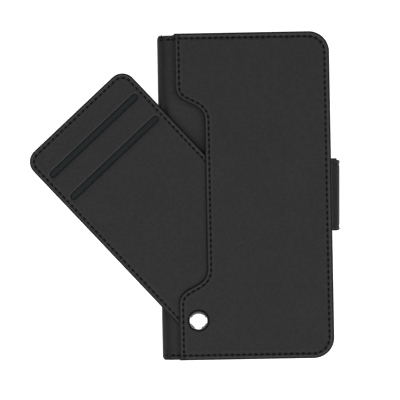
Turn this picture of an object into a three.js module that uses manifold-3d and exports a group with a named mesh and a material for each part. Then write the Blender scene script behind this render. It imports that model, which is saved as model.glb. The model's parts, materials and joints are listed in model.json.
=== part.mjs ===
// Folio phone wallet case with a card holder that swings out of the front pocket on a rivet.
// Millimetres. The case lies on its back: +X away from the spine, +Y to the top edge, +Z out of the front.
// The origin is the middle of the tray floor that the phone lies on.

import * as THREE from "three";
import { mergeVertices } from "three/addons/utils/BufferGeometryUtils.js";
import Module from "manifold-3d";

const wasm = await Module();
wasm.setup();

// Overall sizes
const caseLength = 158;
const caseWidth = 83.2;
const cornerRadius = 10; // the two corners away from the spine
const spineCornerRadius = 1.2;

// Sheet thicknesses
const skinThickness = 0.8;
const boardThickness = 1.1;
const liningThickness = 0.5;
const boardInset = 1.5; // the boards stop short of the sewn edge
const leastRadius = 0.3; // of any inset corner
const foldGap = 0.3; // between the covers' stacks and the spine's stack

// Phone tray
const phoneDepth = 8.6;
const trayFloor = 1.2;
const trayWall = 1.4;
const trayCorner = 9.5; // outer corner radius
const trayEndMargin = 2.6; // cover edge to tray, top and bottom
const trayFreeMargin = 2.6; // cover edge to tray on the side away from the spine
const traySpineMargin = 0.8; // spine lining to tray
const coverRest = 0.3; // closed cover's lining above the tray's rim

// Openings for the camera, the buttons and the port
const cameraWidth = 27;
const cameraHeight = 35;
const cameraCorner = 6;
const cameraFromTrayEdge = 7;
const cameraClearance = 0.6; // the board and the tray are cut this much wider than the skin
const buttonLength = 40;
const buttonFromTop = 17; // from the tray's top end
const portWidth = 52;
const notchFloor = 2.2; // height of the wall left under a notch

// Pocket on the front cover
const seamWidth = 3.4; // width of the sewn gusset
const gussetGap = 0.1;
const gussetSplit = 10; // the end gussets turn the corner by this much
const panelEdgeInset = 8.4; // from the spine side to the panel's free edge, top and bottom
const panelRecessInset = 22.3; // the same in the scooped stretch
const scoopTopStart = 26; // from the top edge
const scoopTopEnd = 42;
const scoopBottomStart = 27; // from the bottom edge
const scoopBottomEnd = 44;
const scoopSoftness = 0.58; // how long the curves' handles are
const backingThickness = 0.3;
const backingInset = 1.0;

// Rivet
const rivetFromSpine = 17.8;
const rivetFromBottom = 19.2;
const postRadius = 1.9;
const capRadius = 4.6;
const capHeight = 1.8;
const capRim = 0.35;
const baseRadius = 4.2;
const baseThickness = 0.7;
const washerRadius = 5.2;
const washerThickness = 0.3;
const boreClearance = 0.15; // round the post
const swingClearance = 0.05; // above and below the holder

// Card holder
const holderHeel = 9.1; // pivot to the holder's near end
const holderFlank = 8.5; // pivot to the holder's left edge when stowed
const holderSideRoom = 4.45; // stowed holder to the pocket's seam
const holderSwingRoom = 7.64; // sweeping corner to the pocket's top seam
const holderCorner = 7;
const holderSheet = 0.7; // face and back
const cardSpace = 1.8;
const cardMargin = 4.3; // seam beside the card pockets
const pocketFloor = 8; // pivot to the foot of the card pockets
const slotWidth = 3.3;
const firstSlotFromEnd = 14.3;
const slotPitch = 14.6;
const dividerThickness = 0.25;
const dividerLap = 3;
const dividerPlay = 0.2;
const dividerStep = 0.2; // keeps the divider's thickness where it climbs
const slotRoundness = 0.98; // of a full half round
const eyeletWall = 1.0;
const eyeletFlange = 1.4;
const eyeletFlangeThickness = 0.25;
const swingAtRest = THREE.MathUtils.degToRad(42.4);

// Clasp strap
const strapWidth = 35;
const strapLining = 0.5;
const strapSkin = 0.7;
const strapBend = 2.0; // inner radius of both bends
const strapStandOff = 2.9; // inner face of the strap to the cover's edge
const strapRootLength = 11;
const strapGap = 0.3; // between the strap's lengths, and round its root
const tongueGap = 0.1; // tongue to the back cover
const tongueLength = 30.8;
const tongueCorner = 6;
const tongueRamp = 4;
const tongueBoard = 1.0;
const tongueBoardInset = 2.2;
const tongueTrim = 9; // reach of the shape that rounds the tongue's tip, past the strap's bend
const magnetRadius = 5.5;
const magnetSpacing = 18;
const magnetFromTip = 10;
const magnetGap = 0.1;
const plateThickness = 0.5;
const plateWidth = 14;
const plateGap = 0.1;

// Plan positions worked out from the sizes
const halfLength = caseLength / 2;
const halfWidth = caseWidth / 2;
const spineThickness = skinThickness + boardThickness + liningThickness;
const spineInner = -halfWidth + spineThickness;
const trayLeft = spineInner + traySpineMargin;
const trayRight = halfWidth - trayFreeMargin;
const trayHalfLength = halfLength - trayEndMargin;
const panelEdgeX = -halfWidth + panelEdgeInset;
const panelRecessX = -halfWidth + panelRecessInset;
const rivetX = -halfWidth + rivetFromSpine;
const rivetY = -halfLength + rivetFromBottom;
const seamRight = halfWidth - seamWidth;
const seamTop = halfLength - seamWidth;
const strapThickness = strapLining + strapSkin;
const strapBendX = halfWidth + strapStandOff - strapBend;
const tongueTip = strapBendX - tongueLength;

// Heights worked out from the sheets, counted up from the back cover's outer face while building
const backBoardZ = skinThickness;
const backLiningZ = backBoardZ + boardThickness;
const trayZ = backLiningZ + liningThickness;
const trayFloorZ = trayZ + trayFloor;
const trayRimZ = trayFloorZ + phoneDepth;
const frontLiningZ = trayRimZ + coverRest;
const frontBoardZ = frontLiningZ + liningThickness;
const frontSkinZ = frontBoardZ + boardThickness;
const frontFaceZ = frontSkinZ + skinThickness;
const holderZ = frontFaceZ + washerThickness + swingClearance;
const holderThickness = 2 * holderSheet + cardSpace;
const upperWasherZ = holderZ + holderThickness + swingClearance;
const backingZ = upperWasherZ + washerThickness;
const panelZ = backingZ + backingThickness;
const panelFaceZ = panelZ + skinThickness;
const spineFootZ = trayZ + foldGap;
const spineHeadZ = frontLiningZ - foldGap;

// Card holder outline in its own frame, with the pivot as its origin and the holder stowed upright
const holderRight = seamRight - rivetX - holderSideRoom;
const holderSweep = seamTop - rivetY - holderSwingRoom;
const holderTop = Math.sqrt(holderSweep ** 2 - holderRight ** 2);
const cardLeft = -holderFlank + cardMargin;
const cardRight = holderRight - cardMargin;
const cardTop = holderTop - cardMargin;

const leatherBlack = new THREE.MeshStandardMaterial({ color: 0x333333, roughness: 0.62, metalness: 0 });
const liningCloth = new THREE.MeshStandardMaterial({ color: 0x2b2b2d, roughness: 0.9, metalness: 0 });
const stiffBoard = new THREE.MeshStandardMaterial({ color: 0x4a4744, roughness: 0.85, metalness: 0 });
const trayPlastic = new THREE.MeshStandardMaterial({ color: 0x1c1c1e, roughness: 0.45, metalness: 0 });
const slotCloth = new THREE.MeshStandardMaterial({ color: 0x252d2e, roughness: 0.8, metalness: 0 });
const polishedSteel = new THREE.MeshStandardMaterial({ color: 0xd4d6d8, roughness: 0.18, metalness: 1 });
const dullSteel = new THREE.MeshStandardMaterial({ color: 0x8c8f92, roughness: 0.45, metalness: 1 });
const washerNylon = new THREE.MeshStandardMaterial({ color: 0x1e1e1e, roughness: 0.5, metalness: 0 });

function toSolid(geometry) {
  const bare = geometry.clone();
  bare.deleteAttribute("normal");
  bare.deleteAttribute("uv");
  const merged = mergeVertices(bare, 1e-4);
  const vertProperties = new Float32Array(merged.attributes.position.array);
  const triVerts = new Uint32Array(merged.index.array);
  return new wasm.Manifold(new wasm.Mesh({ numProp: 3, vertProperties, triVerts }));
}

function toGeometry(solid) {
  const mesh = solid.getMesh();
  const geometry = new THREE.BufferGeometry();
  geometry.setAttribute("position", new THREE.BufferAttribute(new Float32Array(mesh.vertProperties), 3));
  geometry.setIndex(new THREE.BufferAttribute(new Uint32Array(mesh.triVerts), 1));
  geometry.computeVertexNormals();
  return geometry;
}

function cut(geometry, ...tools) {
  return toGeometry(tools.reduce((solid, tool) => solid.subtract(toSolid(tool)), toSolid(geometry)));
}

function common(geometry, tool) {
  return toGeometry(toSolid(geometry).intersect(toSolid(tool)));
}

// A flat sheet: a plan outline given a thickness
function sheet(outline, bottom, top, arcSegments = 8) {
  const settings = { depth: top - bottom, bevelEnabled: false, curveSegments: arcSegments };
  return new THREE.ExtrudeGeometry(outline, settings).translate(0, 0, bottom);
}

function block(left, right, front, back, bottom, top) {
  const geometry = new THREE.BoxGeometry(right - left, back - front, top - bottom);
  return geometry.translate((left + right) / 2, (front + back) / 2, (bottom + top) / 2);
}

function disc(radius, bottom, top, segments = 40) {
  const geometry = new THREE.CylinderGeometry(radius, radius, top - bottom, segments);
  return geometry.rotateX(Math.PI / 2).translate(0, 0, (bottom + top) / 2);
}

// A band seen edge on (x and height) and given its width along Y
function band(profile, width) {
  const settings = { depth: width, bevelEnabled: false, curveSegments: 6 };
  return new THREE.ExtrudeGeometry(profile, settings).rotateX(Math.PI / 2).translate(0, width / 2, 0);
}

// A rectangle whose four corner radii are named in the order left-bottom, right-bottom, right-top, left-top
function roundedOutline(left, right, front, back, radii) {
  const [leftBottom, rightBottom, rightTop, leftTop] = radii;
  const outline = new THREE.Shape();
  outline.moveTo(left + leftBottom, front);
  outline.lineTo(right - rightBottom, front);
  outline.absarc(right - rightBottom, front + rightBottom, rightBottom, -Math.PI / 2, 0);
  outline.lineTo(right, back - rightTop);
  outline.absarc(right - rightTop, back - rightTop, rightTop, 0, Math.PI / 2);
  outline.lineTo(left + leftTop, back);
  outline.absarc(left + leftTop, back - leftTop, leftTop, Math.PI / 2, Math.PI);
  outline.lineTo(left, front + leftBottom);
  outline.absarc(left + leftBottom, front + leftBottom, leftBottom, Math.PI, 1.5 * Math.PI);
  return outline;
}

function coverOutline(inset) {
  const free = cornerRadius - inset;
  const near = Math.max(spineCornerRadius - inset, leastRadius);
  return roundedOutline(
    -halfWidth + inset, halfWidth - inset, -halfLength + inset, halfLength - inset, [near, free, free, near]
  );
}

function cameraHole(extra, bottom, top) {
  const right = trayRight - trayWall - cameraFromTrayEdge + extra;
  const back = trayHalfLength - trayWall - cameraFromTrayEdge + extra;
  const left = right - cameraWidth - 2 * extra;
  const front = back - cameraHeight - 2 * extra;
  const radius = cameraCorner + extra;
  return sheet(roundedOutline(left, right, front, back, [radius, radius, radius, radius]), bottom, top, 5);
}

function addPiece(parent, name, geometry, material) {
  const mesh = new THREE.Mesh(geometry, material);
  mesh.name = name;
  parent.add(mesh);
  return mesh;
}

function buildBackCover(parent) {
  const skin = sheet(coverOutline(0), 0, skinThickness);
  addPiece(parent, "back_cover_skin", cut(skin, cameraHole(0, -1, trayZ)), leatherBlack);

  const plateLeft = tongueTip + magnetFromTip - plateWidth / 2;
  const plateReach = (magnetSpacing + plateWidth) / 2;
  const plateRecess = block(
    plateLeft - plateGap, plateLeft + plateWidth + plateGap,
    -plateReach - plateGap, plateReach + plateGap, backBoardZ - 1, backBoardZ + plateThickness
  );
  const board = sheet(coverOutline(boardInset), backBoardZ, backLiningZ);
  const boardHole = cameraHole(cameraClearance, backBoardZ - 1, backLiningZ + 1);
  addPiece(parent, "back_cover_board", cut(board, boardHole, plateRecess), stiffBoard);
  const plate = block(
    plateLeft, plateLeft + plateWidth, -plateReach, plateReach, backBoardZ, backBoardZ + plateThickness
  );
  addPiece(parent, "clasp_plate", plate, dullSteel);

  const lining = sheet(coverOutline(0), backLiningZ, trayZ);
  const liningHole = cameraHole(0, backLiningZ - 1, trayZ + 1);
  addPiece(parent, "back_cover_lining", cut(lining, liningHole), liningCloth);
}

function buildPhoneTray(parent) {
  const outerRadii = [trayCorner, trayCorner, trayCorner, trayCorner];
  const innerRadii = outerRadii.map((radius) => radius - trayWall);
  const outer = roundedOutline(trayLeft, trayRight, -trayHalfLength, trayHalfLength, outerRadii);
  const inner = roundedOutline(
    trayLeft + trayWall, trayRight - trayWall, -trayHalfLength + trayWall, trayHalfLength - trayWall, innerRadii
  );
  const notchZ = trayFloorZ + notchFloor;
  const buttonTop = trayHalfLength - buttonFromTop;
  const buttonNotch = block(
    trayRight - trayWall - 1, trayRight + 1, buttonTop - buttonLength, buttonTop, notchZ, trayRimZ + 1
  );
  const trayMiddle = (trayLeft + trayRight) / 2;
  const portNotch = block(
    trayMiddle - portWidth / 2, trayMiddle + portWidth / 2,
    -trayHalfLength - 1, -trayHalfLength + trayWall + 1, notchZ, trayRimZ + 1
  );
  const tray = cut(
    sheet(outer, trayZ, trayRimZ),
    sheet(inner, trayFloorZ, trayRimZ + 1),
    cameraHole(cameraClearance, trayZ - 1, trayFloorZ + 1),
    buttonNotch,
    portNotch
  );
  addPiece(parent, "phone_tray", tray, trayPlastic);
}

function buildSpine(parent) {
  const skinX = -halfWidth + skinThickness;
  const boardX = skinX + boardThickness;
  const skin = block(-halfWidth, skinX, -halfLength, halfLength, spineFootZ, spineHeadZ);
  addPiece(parent, "spine_skin", skin, leatherBlack);
  const boardReach = halfLength - boardInset;
  const board = block(skinX, boardX, -boardReach, boardReach, spineFootZ, spineHeadZ);
  addPiece(parent, "spine_board", board, stiffBoard);
  const lining = block(boardX, spineInner, -halfLength, halfLength, spineFootZ, spineHeadZ);
  addPiece(parent, "spine_lining", lining, liningCloth);
}

// The panel's outline: the cover's outline on three sides, and a scooped free edge towards the spine
function panelOutline(inset) {
  const left = panelEdgeX + inset;
  const recess = panelRecessX + inset;
  const right = halfWidth - inset;
  const top = halfLength - inset;
  const radius = cornerRadius - inset;
  const scoopTop = [halfLength - scoopTopStart, halfLength - scoopTopEnd];
  const scoopBottom = [-halfLength + scoopBottomEnd, -halfLength + scoopBottomStart];
  const outline = new THREE.Shape();
  const ease = (from, to) => from + (to - from) * scoopSoftness;
  outline.moveTo(left, -top);
  outline.lineTo(right - radius, -top);
  outline.absarc(right - radius, -top + radius, radius, -Math.PI / 2, 0);
  outline.lineTo(right, top - radius);
  outline.absarc(right - radius, top - radius, radius, 0, Math.PI / 2);
  outline.lineTo(left, top);
  outline.lineTo(left, scoopTop[0]);
  outline.bezierCurveTo(left, ease(...scoopTop), recess, ease(scoopTop[1], scoopTop[0]), recess, scoopTop[1]);
  outline.lineTo(recess, scoopBottom[0]);
  outline.bezierCurveTo(
    recess, ease(...scoopBottom), left, ease(scoopBottom[1], scoopBottom[0]), left, scoopBottom[1]
  );
  outline.lineTo(left, -top);
  return outline;
}

function atRivet(geometry) {
  return geometry.translate(rivetX, rivetY, 0);
}

function rivetBore(bottom, top) {
  return atRivet(disc(postRadius + boreClearance, bottom, top));
}

function buildFrontCover(parent) {
  const strapReach = strapWidth / 2 + strapGap;
  const rootNotch = block(
    halfWidth - strapRootLength - strapGap, halfWidth, -strapReach, strapReach, frontBoardZ - 1, frontSkinZ + 1
  );
  const baseRecess = atRivet(disc(baseRadius + boreClearance, frontBoardZ - 1, frontSkinZ + 1));
  const board = sheet(coverOutline(boardInset), frontBoardZ, frontSkinZ);
  addPiece(parent, "front_cover_board", cut(board, rootNotch, baseRecess), stiffBoard);
  addPiece(parent, "front_cover_lining", sheet(coverOutline(0), frontLiningZ, frontBoardZ), liningCloth);
  const skin = sheet(coverOutline(0), frontSkinZ, frontFaceZ);
  addPiece(parent, "front_cover_skin", cut(skin, rivetBore(frontSkinZ - 1, frontFaceZ + 1)), leatherBlack);
}

function buildPocket(parent) {
  const seamRing = cut(
    sheet(coverOutline(0), frontFaceZ, backingZ), sheet(coverOutline(seamWidth), frontFaceZ - 1, backingZ + 1)
  );
  const openSide = block(panelEdgeX, halfWidth, -halfLength, halfLength, frontFaceZ, backingZ);
  const seamBand = common(seamRing, openSide);
  const splitY = halfLength - gussetSplit - seamWidth;
  const beyond = halfLength + 1;
  const zones = {
    pocket_gusset_top: [splitY, beyond],
    pocket_gusset_right: [-splitY + gussetGap, splitY - gussetGap],
    pocket_gusset_bottom: [-beyond, -splitY],
  };
  for (const [name, [front, back]] of Object.entries(zones)) {
    const zone = block(-halfWidth - 1, halfWidth + 1, front, back, frontFaceZ - 1, backingZ + 1);
    addPiece(parent, name, common(seamBand, zone), leatherBlack);
  }
  const footTop = rivetY - holderHeel - 2 * gussetGap;
  const foot = block(panelEdgeX, panelEdgeX + seamWidth, -seamTop + gussetGap, footTop, frontFaceZ, backingZ);
  addPiece(parent, "pocket_gusset_foot", foot, leatherBlack);

  const backing = sheet(panelOutline(backingInset), backingZ, panelZ, 10);
  addPiece(parent, "front_panel_backing", cut(backing, rivetBore(backingZ - 1, panelZ + 1)), liningCloth);
  const panel = sheet(panelOutline(0), panelZ, panelFaceZ, 14);
  addPiece(parent, "front_panel", cut(panel, rivetBore(panelZ - 1, panelFaceZ + 1)), leatherBlack);
}

function buildRivet(parent) {
  const baseZ = frontBoardZ + 0.1;
  addPiece(parent, "rivet_base", atRivet(disc(baseRadius, baseZ, baseZ + baseThickness)), dullSteel);
  const post = atRivet(disc(postRadius, baseZ + baseThickness, panelFaceZ, 32));
  addPiece(parent, "rivet_post", post, dullSteel);

  // The dome is a flattened cap: height falls off with the radius as a quarter ellipse above a short rim
  const domeProfile = [new THREE.Vector2(0, 0), new THREE.Vector2(capRadius, 0)];
  const domeSteps = 8;
  for (let step = 0; step <= domeSteps; step += 1) {
    const angle = (step / domeSteps) * (Math.PI / 2);
    const radius = step === domeSteps ? 0 : capRadius * Math.cos(angle);
    domeProfile.push(new THREE.Vector2(radius, capRim + (capHeight - capRim) * Math.sin(angle)));
  }
  const dome = new THREE.LatheGeometry(domeProfile, 40).rotateX(Math.PI / 2).translate(0, 0, panelFaceZ);
  addPiece(parent, "rivet_cap", atRivet(toGeometry(toSolid(dome))), polishedSteel);

  for (const [name, bottom] of [["rivet_washer_lower", frontFaceZ], ["rivet_washer_upper", upperWasherZ]]) {
    const washer = cut(
      atRivet(disc(washerRadius, bottom, bottom + washerThickness)),
      rivetBore(bottom - 1, bottom + washerThickness + 1)
    );
    addPiece(parent, name, washer, washerNylon);
  }
}

function holderOutline(inset) {
  const corner = holderCorner - inset;
  return roundedOutline(
    -holderFlank + inset, holderRight - inset, -holderHeel + inset, holderTop - inset,
    [holderFlank - inset, corner, corner, corner]
  );
}

function slotHole(middleY, bottom, top) {
  const end = slotWidth / 2;
  const radii = [end, end, end, end].map((radius) => radius * slotRoundness);
  const outline = roundedOutline(cardLeft, cardRight, middleY - end, middleY + end, radii);
  return sheet(outline, bottom, top, 6);
}

function buildCardHolder(parent) {
  const holder = new THREE.Group();
  holder.position.set(rivetX, rivetY, 0);
  holder.rotation.z = swingAtRest;
  parent.add(holder);

  const spaceZ = holderZ + holderSheet;
  const faceZ = spaceZ + cardSpace;
  const faceTop = faceZ + holderSheet;
  const eyeletOuter = postRadius + boreClearance + eyeletWall;
  const flangeOuter = eyeletOuter + eyeletFlange;
  const eyeletHole = disc(eyeletOuter + boreClearance, holderZ - 1, faceTop + 1);
  const flangeBottom = holderZ + eyeletFlangeThickness;
  const flangeTop = faceTop - eyeletFlangeThickness;
  const lowerRecess = disc(flangeOuter + boreClearance, holderZ - 1, flangeBottom);
  const upperRecess = disc(flangeOuter + boreClearance, flangeTop, faceTop + 1);

  const back = sheet(holderOutline(0), holderZ, spaceZ);
  addPiece(holder, "holder_back", cut(back, eyeletHole, lowerRecess), leatherBlack);
  const firstSlotY = holderTop - firstSlotFromEnd;
  const secondSlotY = firstSlotY - slotPitch;
  const face = cut(
    sheet(holderOutline(0), faceZ, faceTop),
    slotHole(firstSlotY, faceZ - 1, faceTop + 1),
    slotHole(secondSlotY, faceZ - 1, faceTop + 1),
    eyeletHole,
    upperRecess
  );
  addPiece(holder, "holder_face", face, leatherBlack);

  // Seam strips between the two sheets leave the card space open in the middle
  const whole = sheet(holderOutline(0), spaceZ, faceZ);
  const beyond = holderTop + 1;
  const stripZones = {
    holder_edge_left: [-beyond, cardLeft, pocketFloor + gussetGap, cardTop - gussetGap],
    holder_edge_right: [cardRight, beyond, pocketFloor + gussetGap, cardTop - gussetGap],
    holder_edge_top: [-beyond, beyond, cardTop, beyond],
  };
  for (const [name, [left, right, front, rear]] of Object.entries(stripZones)) {
    const zone = block(left, right, front, rear, spaceZ - 1, faceZ + 1);
    addPiece(holder, name, common(whole, zone), leatherBlack);
  }
  const footZone = block(-beyond, beyond, -beyond, pocketFloor, spaceZ - 1, faceZ + 1);
  addPiece(holder, "holder_foot", cut(common(whole, footZone), eyeletHole), leatherBlack);

  // The divider runs at half height and climbs to the face between the two slots
  const middleZ = spaceZ + (cardSpace - dividerThickness) / 2;
  const climbY = (firstSlotY + secondSlotY) / 2 + slotWidth / 2;
  const lapZ = faceZ - dividerThickness;
  const startY = pocketFloor + dividerPlay;
  const dividerProfile = new THREE.Shape([
    new THREE.Vector2(startY, middleZ),
    new THREE.Vector2(climbY - dividerLap, middleZ),
    new THREE.Vector2(climbY, lapZ),
    new THREE.Vector2(climbY + dividerLap, lapZ),
    new THREE.Vector2(climbY + dividerLap, lapZ + dividerThickness),
    new THREE.Vector2(climbY - dividerStep, lapZ + dividerThickness),
    new THREE.Vector2(climbY - dividerLap - dividerStep, middleZ + dividerThickness),
    new THREE.Vector2(startY, middleZ + dividerThickness),
  ]);
  const dividerWidth = cardRight - cardLeft - 2 * dividerPlay;
  const divider = band(dividerProfile, dividerWidth).rotateZ(Math.PI / 2);
  divider.translate((cardLeft + cardRight) / 2, 0, 0);
  addPiece(holder, "holder_divider", divider, slotCloth);

  const eyeletBore = postRadius + boreClearance;
  const eyeletProfile = [
    [eyeletBore, holderZ], [flangeOuter, holderZ], [flangeOuter, flangeBottom], [eyeletOuter, flangeBottom],
    [eyeletOuter, flangeTop], [flangeOuter, flangeTop], [flangeOuter, faceTop], [eyeletBore, faceTop],
    [eyeletBore, holderZ],
  ].map(([radius, height]) => new THREE.Vector2(radius, height));
  const eyelet = new THREE.LatheGeometry(eyeletProfile, 40).rotateX(Math.PI / 2);
  addPiece(holder, "holder_eyelet", toGeometry(toSolid(eyelet)), dullSteel);
}

// One bend of the strap, as points at a given distance outside its inner face
function bendPoints(centreZ, offset, fromDegrees, toDegrees) {
  const steps = 5;
  const radius = strapBend + offset;
  return Array.from({ length: steps + 1 }, (unused, step) => {
    const angle = THREE.MathUtils.degToRad(fromDegrees + ((toDegrees - fromDegrees) * step) / steps);
    return new THREE.Vector2(strapBendX + radius * Math.cos(angle), centreZ + radius * Math.sin(angle));
  });
}

// A length of strap between two distances from its inner face
function strapLength(path, inner, outer) {
  return band(new THREE.Shape([...path(inner), ...path(outer).reverse()]), strapWidth);
}

function buildStrap(frontParent, sideParent, tongueParent) {
  const upperZ = frontBoardZ - strapBend;
  const lowerZ = -tongueGap + strapBend;
  const halfGap = THREE.MathUtils.radToDeg(strapGap / 2 / (strapBend + strapThickness / 2));
  const upperSplit = 45;
  const lowerSplit = -45;

  const rootStart = halfWidth - strapRootLength;
  const rootThickness = Math.min(strapThickness, boardThickness);
  const rootPath = (offset) => [
    new THREE.Vector2(rootStart, frontBoardZ + offset),
    ...bendPoints(upperZ, offset, 90, upperSplit + halfGap),
  ];
  addPiece(frontParent, "strap_root", strapLength(rootPath, 0, rootThickness), leatherBlack);

  const sidePath = (offset) => [
    ...bendPoints(upperZ, offset, upperSplit - halfGap, 0),
    ...bendPoints(lowerZ, offset, 0, lowerSplit + halfGap),
  ];
  addPiece(sideParent, "strap_side_lining", strapLength(sidePath, 0, strapLining), liningCloth);
  addPiece(sideParent, "strap_side_skin", strapLength(sidePath, strapLining, strapThickness), leatherBlack);

  // The tongue thickens from two sheets to two sheets and a board that holds the magnets
  const tongueRound = sheet(
    roundedOutline(
      tongueTip, halfWidth + tongueTrim, -strapWidth / 2, strapWidth / 2, [tongueCorner, leastRadius, leastRadius, tongueCorner]
    ),
    -tongueTrim, tongueTrim
  );
  const liningPath = (offset) => [
    ...bendPoints(lowerZ, offset, lowerSplit - halfGap, -90),
    new THREE.Vector2(tongueTip, -tongueGap - offset),
  ];
  const lining = common(strapLength(liningPath, 0, strapLining), tongueRound);
  addPiece(tongueParent, "strap_tongue_lining", lining, liningCloth);
  const skinPath = (offset) => [
    ...bendPoints(lowerZ, offset, lowerSplit - halfGap, -90),
    new THREE.Vector2(strapBendX - tongueRamp, -tongueGap - offset - tongueBoard),
    new THREE.Vector2(tongueTip, -tongueGap - offset - tongueBoard),
  ];
  const skin = common(strapLength(skinPath, strapLining, strapThickness), tongueRound);
  addPiece(tongueParent, "strap_tongue_skin", skin, leatherBlack);

  const boardTop = -tongueGap - strapLining;
  const boardReach = strapWidth / 2 - tongueBoardInset;
  const boardCorner = tongueCorner - tongueBoardInset;
  const boardShape = roundedOutline(
    tongueTip + tongueBoardInset, strapBendX - tongueRamp, -boardReach, boardReach,
    [boardCorner, leastRadius, leastRadius, boardCorner]
  );
  const magnetX = tongueTip + magnetFromTip;
  const magnets = { strap_magnet_upper: magnetSpacing / 2, strap_magnet_lower: -magnetSpacing / 2 };
  const magnetHoles = Object.values(magnets).map((y) =>
    disc(magnetRadius + magnetGap, boardTop - tongueBoard - 1, boardTop + 1).translate(magnetX, y, 0)
  );
  const board = cut(sheet(boardShape, boardTop - tongueBoard, boardTop), ...magnetHoles);
  addPiece(tongueParent, "strap_tongue_board", board, stiffBoard);
  for (const [name, y] of Object.entries(magnets)) {
    const magnet = disc(magnetRadius, boardTop - tongueBoard, boardTop).translate(magnetX, y, 0);
    addPiece(tongueParent, name, magnet, dullSteel);
  }
}

const group = new THREE.Group();
const backCover = new THREE.Group();
const spine = new THREE.Group();
const frontCover = new THREE.Group();
const strapSide = new THREE.Group();
const strapTongue = new THREE.Group();
group.add(backCover, spine, frontCover, strapSide, strapTongue);

buildBackCover(backCover);
buildPhoneTray(backCover);
buildSpine(spine);
buildFrontCover(frontCover);
buildPocket(frontCover);
buildRivet(frontCover);
buildCardHolder(group);
buildStrap(frontCover, strapSide, strapTongue);

group.position.set(-(trayLeft + trayRight) / 2, 0, -trayFloorZ);

export default group;
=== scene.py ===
import json
import math

import bpy
import numpy as np
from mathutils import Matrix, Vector
from mathutils.geometry import delaunay_2d_cdt, tessellate_polygon


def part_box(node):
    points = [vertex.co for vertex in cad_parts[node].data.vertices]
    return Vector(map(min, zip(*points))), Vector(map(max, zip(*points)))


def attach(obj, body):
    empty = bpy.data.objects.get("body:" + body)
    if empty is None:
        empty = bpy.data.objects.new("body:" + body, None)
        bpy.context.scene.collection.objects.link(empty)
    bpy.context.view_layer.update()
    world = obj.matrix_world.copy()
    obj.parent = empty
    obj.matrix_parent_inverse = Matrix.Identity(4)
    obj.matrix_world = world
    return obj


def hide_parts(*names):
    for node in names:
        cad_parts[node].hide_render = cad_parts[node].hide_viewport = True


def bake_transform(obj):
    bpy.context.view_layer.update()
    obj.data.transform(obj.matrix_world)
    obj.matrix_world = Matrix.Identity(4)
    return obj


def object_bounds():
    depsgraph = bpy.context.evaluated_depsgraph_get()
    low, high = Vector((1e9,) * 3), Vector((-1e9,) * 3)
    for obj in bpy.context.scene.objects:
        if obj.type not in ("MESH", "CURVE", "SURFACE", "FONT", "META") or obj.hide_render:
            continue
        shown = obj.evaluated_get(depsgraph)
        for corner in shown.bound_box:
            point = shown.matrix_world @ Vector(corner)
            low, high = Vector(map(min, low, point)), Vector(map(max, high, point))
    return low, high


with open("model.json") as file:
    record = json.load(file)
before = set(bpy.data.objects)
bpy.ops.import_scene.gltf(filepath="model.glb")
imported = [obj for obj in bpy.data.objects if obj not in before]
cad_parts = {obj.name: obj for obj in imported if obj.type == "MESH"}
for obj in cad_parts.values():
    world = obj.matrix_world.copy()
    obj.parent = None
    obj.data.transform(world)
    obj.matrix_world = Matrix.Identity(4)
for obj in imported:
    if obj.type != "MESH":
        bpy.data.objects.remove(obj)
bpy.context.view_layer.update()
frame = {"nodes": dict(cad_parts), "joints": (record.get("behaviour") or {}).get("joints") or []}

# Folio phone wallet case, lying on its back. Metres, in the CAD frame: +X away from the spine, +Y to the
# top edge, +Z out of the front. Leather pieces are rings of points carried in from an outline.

mm = 0.001

joints = {joint["name"]: joint for joint in frame["joints"]}
frontLow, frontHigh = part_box("front_cover_skin")
panelLow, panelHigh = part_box("front_panel")
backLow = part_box("back_cover_skin")[0]
backLiningLow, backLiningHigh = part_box("back_cover_lining")
frontLiningLow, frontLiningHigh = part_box("front_cover_lining")
spineLow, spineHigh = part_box("spine_skin")
rivetLow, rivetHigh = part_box("rivet_cap")

coverLeft, coverRight = frontLow[0], frontHigh[0]
coverFront, coverBack = frontLow[1], frontHigh[1]
stitch = {"pitch": 2.85 * mm, "length": 1.95 * mm, "width": 0.72 * mm, "rise": 0.2 * mm, "sink": 0.1 * mm}
sewing = {
    "line": 2.4 * mm, "freeLine": 2.05 * mm,  # stitch line to the edge
    "groove": 0.22 * mm, "dimple": 0.24 * mm, "grooveWidth": 0.48 * mm,
    "lip": 0.13 * mm, "ridge": 0.06 * mm,
}
cornerRadius = 10 * mm
quarter = math.pi / 2


# Outlines: each function gives one closed ring at a distance inside the edge, always with the same count

def arcPoints(centreX, centreY, radius, startAngle, endAngle, count):
    # x = cx + r cos a, y = cy + r sin a, for a from start up to, but not reaching, end
    angles = startAngle + (endAngle - startAngle) * np.arange(count) / count
    return np.column_stack([centreX + radius * np.cos(angles), centreY + radius * np.sin(angles)])


def linePoints(start, end, count):
    # p = start + (end - start) k / count, short of the end itself
    share = (np.arange(count) / count)[:, None]
    return np.asarray(start) + (np.asarray(end) - np.asarray(start)) * share


def bezierInset(start, handleA, handleB, end, inset, count):
    # cubic p(k) = (1-k)^3 a + 3(1-k)^2 k b + 3(1-k) k^2 c + k^3 d, moved along its normal by the inset
    k = (np.arange(count) / count)[:, None]
    a, b, c, d = (np.asarray(point, float) for point in (start, handleA, handleB, end))
    points = (1 - k) ** 3 * a + 3 * (1 - k) ** 2 * k * b + 3 * (1 - k) * k ** 2 * c + k ** 3 * d
    slope = 3 * (1 - k) ** 2 * (b - a) + 6 * (1 - k) * k * (c - b) + 3 * k ** 2 * (d - c)
    slope /= np.linalg.norm(slope, axis=1, keepdims=True)
    normal = np.column_stack([-slope[:, 1], slope[:, 0]])
    return points + normal * inset


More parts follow.
